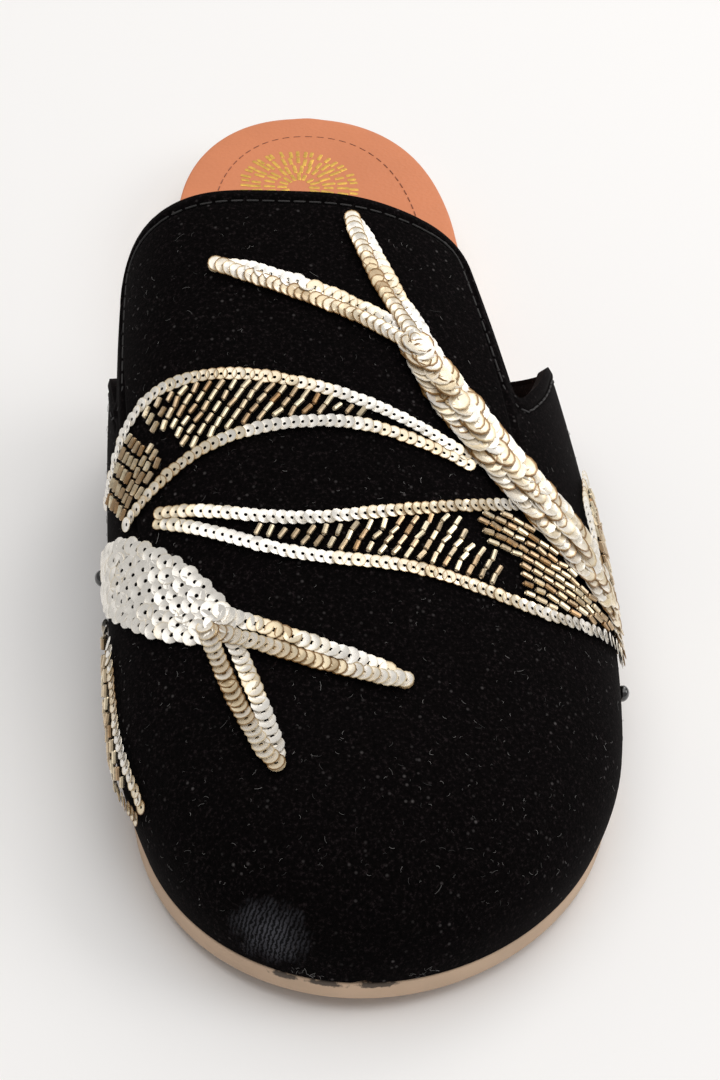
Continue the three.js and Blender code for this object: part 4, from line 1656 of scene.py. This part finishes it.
class MULE_OT_wing_beads(bpy.types.Operator):
    """Fill the wings with slanted strings of tube beads"""

    bl_idname = "mule.wing_beads"
    bl_label = "Wing beads"

    def execute(self, context):
        group = settings().embroidery
        pitch = group.string_pitch / MM
        spacing = group.bead_length / MM * BEAD_SPACING
        template = bead_template()
        rng = np.random.default_rng(BEAD_SEED)
        for name, bird in BIRDS.items():
            for part in WINGS:
                node = f"{name}_{part}"
                places, headings = bead_places(bird[part], STRINGS[node], pitch, spacing)
                angles = np.radians(headings) + rng.normal(0, BEAD_TURN_SPREAD, len(places))
                kept = clear_of_body(places, bird)
                beads = lay_beads(f"{node}_beads", template, places[kept], angles[kept], rng)
                finish_piece(beads, "beads", [bead_finish], node)
        return {"FINISHED"}


EYE_FLATNESS = 0.8  # height as a share of the width
EYE_SEAT = 0.4  # share of the width from the bead's foot to its middle
EYE_HOLE_FROM = 0.44  # the hole takes the faces over this height
EYE_HOLE_RIM = 0.04
EYE_HOLE_DEPTH = 0.14


def eye_template():
    """A bead of unit width with a sunk hole at its top."""
    deselect()
    bpy.ops.mesh.primitive_uv_sphere_add(segments=20, ring_count=12, radius=0.5)
    select_faces(bpy.context.object, lambda face: face.center.z > EYE_HOLE_FROM)
    bpy.ops.mesh.inset(thickness=EYE_HOLE_RIM)
    bpy.ops.transform.translate(value=(0, 0, -EYE_HOLE_DEPTH))
    return template_arrays()


class MULE_OT_eyes(bpy.types.Operator):
    """Sew on the black eye beads"""

    bl_idname = "mule.eyes"
    bl_label = "Eye beads"

    def execute(self, context):
        width = settings().embroidery.eye_width / MM
        sizes = np.array([[width, width, width * EYE_FLATNESS]])
        for name, bird in BIRDS.items():
            points, normals, back = vamp_frame(np.array([bird["eye"]], float))
            axes = tilted_axes(normals, back, np.zeros(1))
            points = points + normals * (LIFT + width * EYE_SEAT)
            eye = copies(f"{name}_eye_bead", eye_template(), points, axes, sizes, np.ones(1))
            smooth(eye, degrees=50)
            finish_piece(eye, "jet_bead", [jet_finish], f"{name}_eye")
        return {"FINISHED"}


# Floor, light and camera

CAMERA_PLACE = (-44.8, -326.05, 416.9)
CAMERA_AIM = (3.2, 91.6, 25.0)
FLOOR_SIZE = 6.0
FLOOR_DROP = 0.1 * MM  # keeps the floor clear of the sole
LIGHTS = (
    # name, place in metres, aim, size, power, colour
    ("overhead_softbox", (0.08, 0.15, 1.3), (0, 0, 0), 1.9, 11.4, (1.0, 0.985, 0.965)),
    ("back_softbox", (0.6, 1.0, 0.9), (0, 0, 0.02), 0.7, 2.9, (1.0, 0.98, 0.95)),
    ("side_fill", (1.0, -0.1, 0.7), (0, 0, 0.02), 0.6, 2.6, (1.0, 0.99, 0.98)),
)
WORLD_COLOUR = (1.0, 0.99, 0.98, 1)
WORLD_STRENGTH = 0.42


def floor_finish():
    """Plain pale floor."""
    finish = Finish("studio_floor", Roughness=0.9, Specular_IOR_Level=0.1)
    finish.set("Base Color", finish.mottled(tuple(settings().stage.floor), 1.5, 2, 0.985, 1.01))
    return finish.material


def add_softbox(name, place, aim, size, power, colour):
    bpy.ops.object.light_add(type="AREA", location=place)
    light = name_piece(name)
    light.data.shape = "DISK"
    light.data.size = size
    light.data.energy = power
    light.data.color = colour
    direction = Vector(aim) - Vector(place)
    light.rotation_euler = direction.to_track_quat("-Z", "Y").to_euler()


def add_world(scene):
    world = bpy.data.worlds.new("studio_world")
    world.use_nodes = True
    background = world.node_tree.nodes["Background"]
    background.inputs["Color"].default_value = WORLD_COLOUR
    background.inputs["Strength"].default_value = WORLD_STRENGTH
    scene.world = world
    scene.view_settings.view_transform = "Standard"


def add_camera(scene):
    """A camera that looks from its place to its aim, rolled about that line."""
    place = Vector(to_frame(CAMERA_PLACE))
    ahead = (Vector(to_frame(CAMERA_AIM)) - place).normalized()
    right = ahead.cross(Vector((0, 0, 1))).normalized()
    up = right.cross(ahead)
    roll = settings().stage.roll
    turned_right = right * math.cos(roll) + up * math.sin(roll)
    turned_up = up * math.cos(roll) - right * math.sin(roll)
    camera = bpy.data.cameras.new("studio_camera")
    camera.lens = settings().stage.lens
    camera.clip_start = 0.01
    holder = bpy.data.objects.new("studio_camera", camera)
    scene.collection.objects.link(holder)
    pose = Matrix((turned_right, turned_up, -ahead)).transposed().to_4x4()
    pose.translation = place
    holder.matrix_world = pose
    scene.camera = holder


class MULE_OT_stage(bpy.types.Operator):
    """Set the floor, soft light and camera"""

    bl_idname = "mule.stage"
    bl_label = "Stage"

    def execute(self, context):
        deselect()
        bpy.ops.mesh.primitive_plane_add(size=FLOOR_SIZE, location=(0, 0, -FLOOR_DROP))
        floor = name_piece("studio_floor")
        floor.data.materials.append(floor_finish())
        for light in LIGHTS:
            add_softbox(*light)
        add_world(context.scene)
        add_camera(context.scene)
        return {"FINISHED"}


PIECES = (
    MULE_OT_outsole, MULE_OT_insole, MULE_OT_heel_stitches, MULE_OT_foil_rosette,
    MULE_OT_upper, MULE_OT_topline_stitches, MULE_OT_lint,
    MULE_OT_bird_bodies, MULE_OT_wing_borders, MULE_OT_wing_beads, MULE_OT_eyes, MULE_OT_stage,
)


class MULE_PT_pieces(bpy.types.Panel):
    """The mule's pieces and settings"""

    bl_idname = "MULE_PT_pieces"
    bl_label = "Mule"
    bl_space_type = "VIEW_3D"
    bl_region_type = "UI"
    bl_category = "Mule"

    def draw(self, context):
        for group in (settings().velvet, settings().leather, settings().embroidery, settings().stage):
            box = self.layout.box()
            for name in group.__annotations__:
                box.prop(group, name)
        for piece in PIECES:
            self.layout.operator(piece.bl_idname)


CLASSES = (MuleVelvet, MuleLeather, MuleEmbroidery, MuleStage, Mule, *PIECES, MULE_PT_pieces)


def register():
    for cls in CLASSES:
        bpy.utils.register_class(cls)
    bpy.types.Scene.mule = PointerProperty(type=Mule)


def unregister():
    del bpy.types.Scene.mule
    for cls in reversed(CLASSES):
        bpy.utils.unregister_class(cls)


def main():
    register()
    for piece in PIECES:
        group, name = piece.bl_idname.split(".")
        getattr(getattr(bpy.ops, group), name)()


if __name__ == "__main__":
    main()
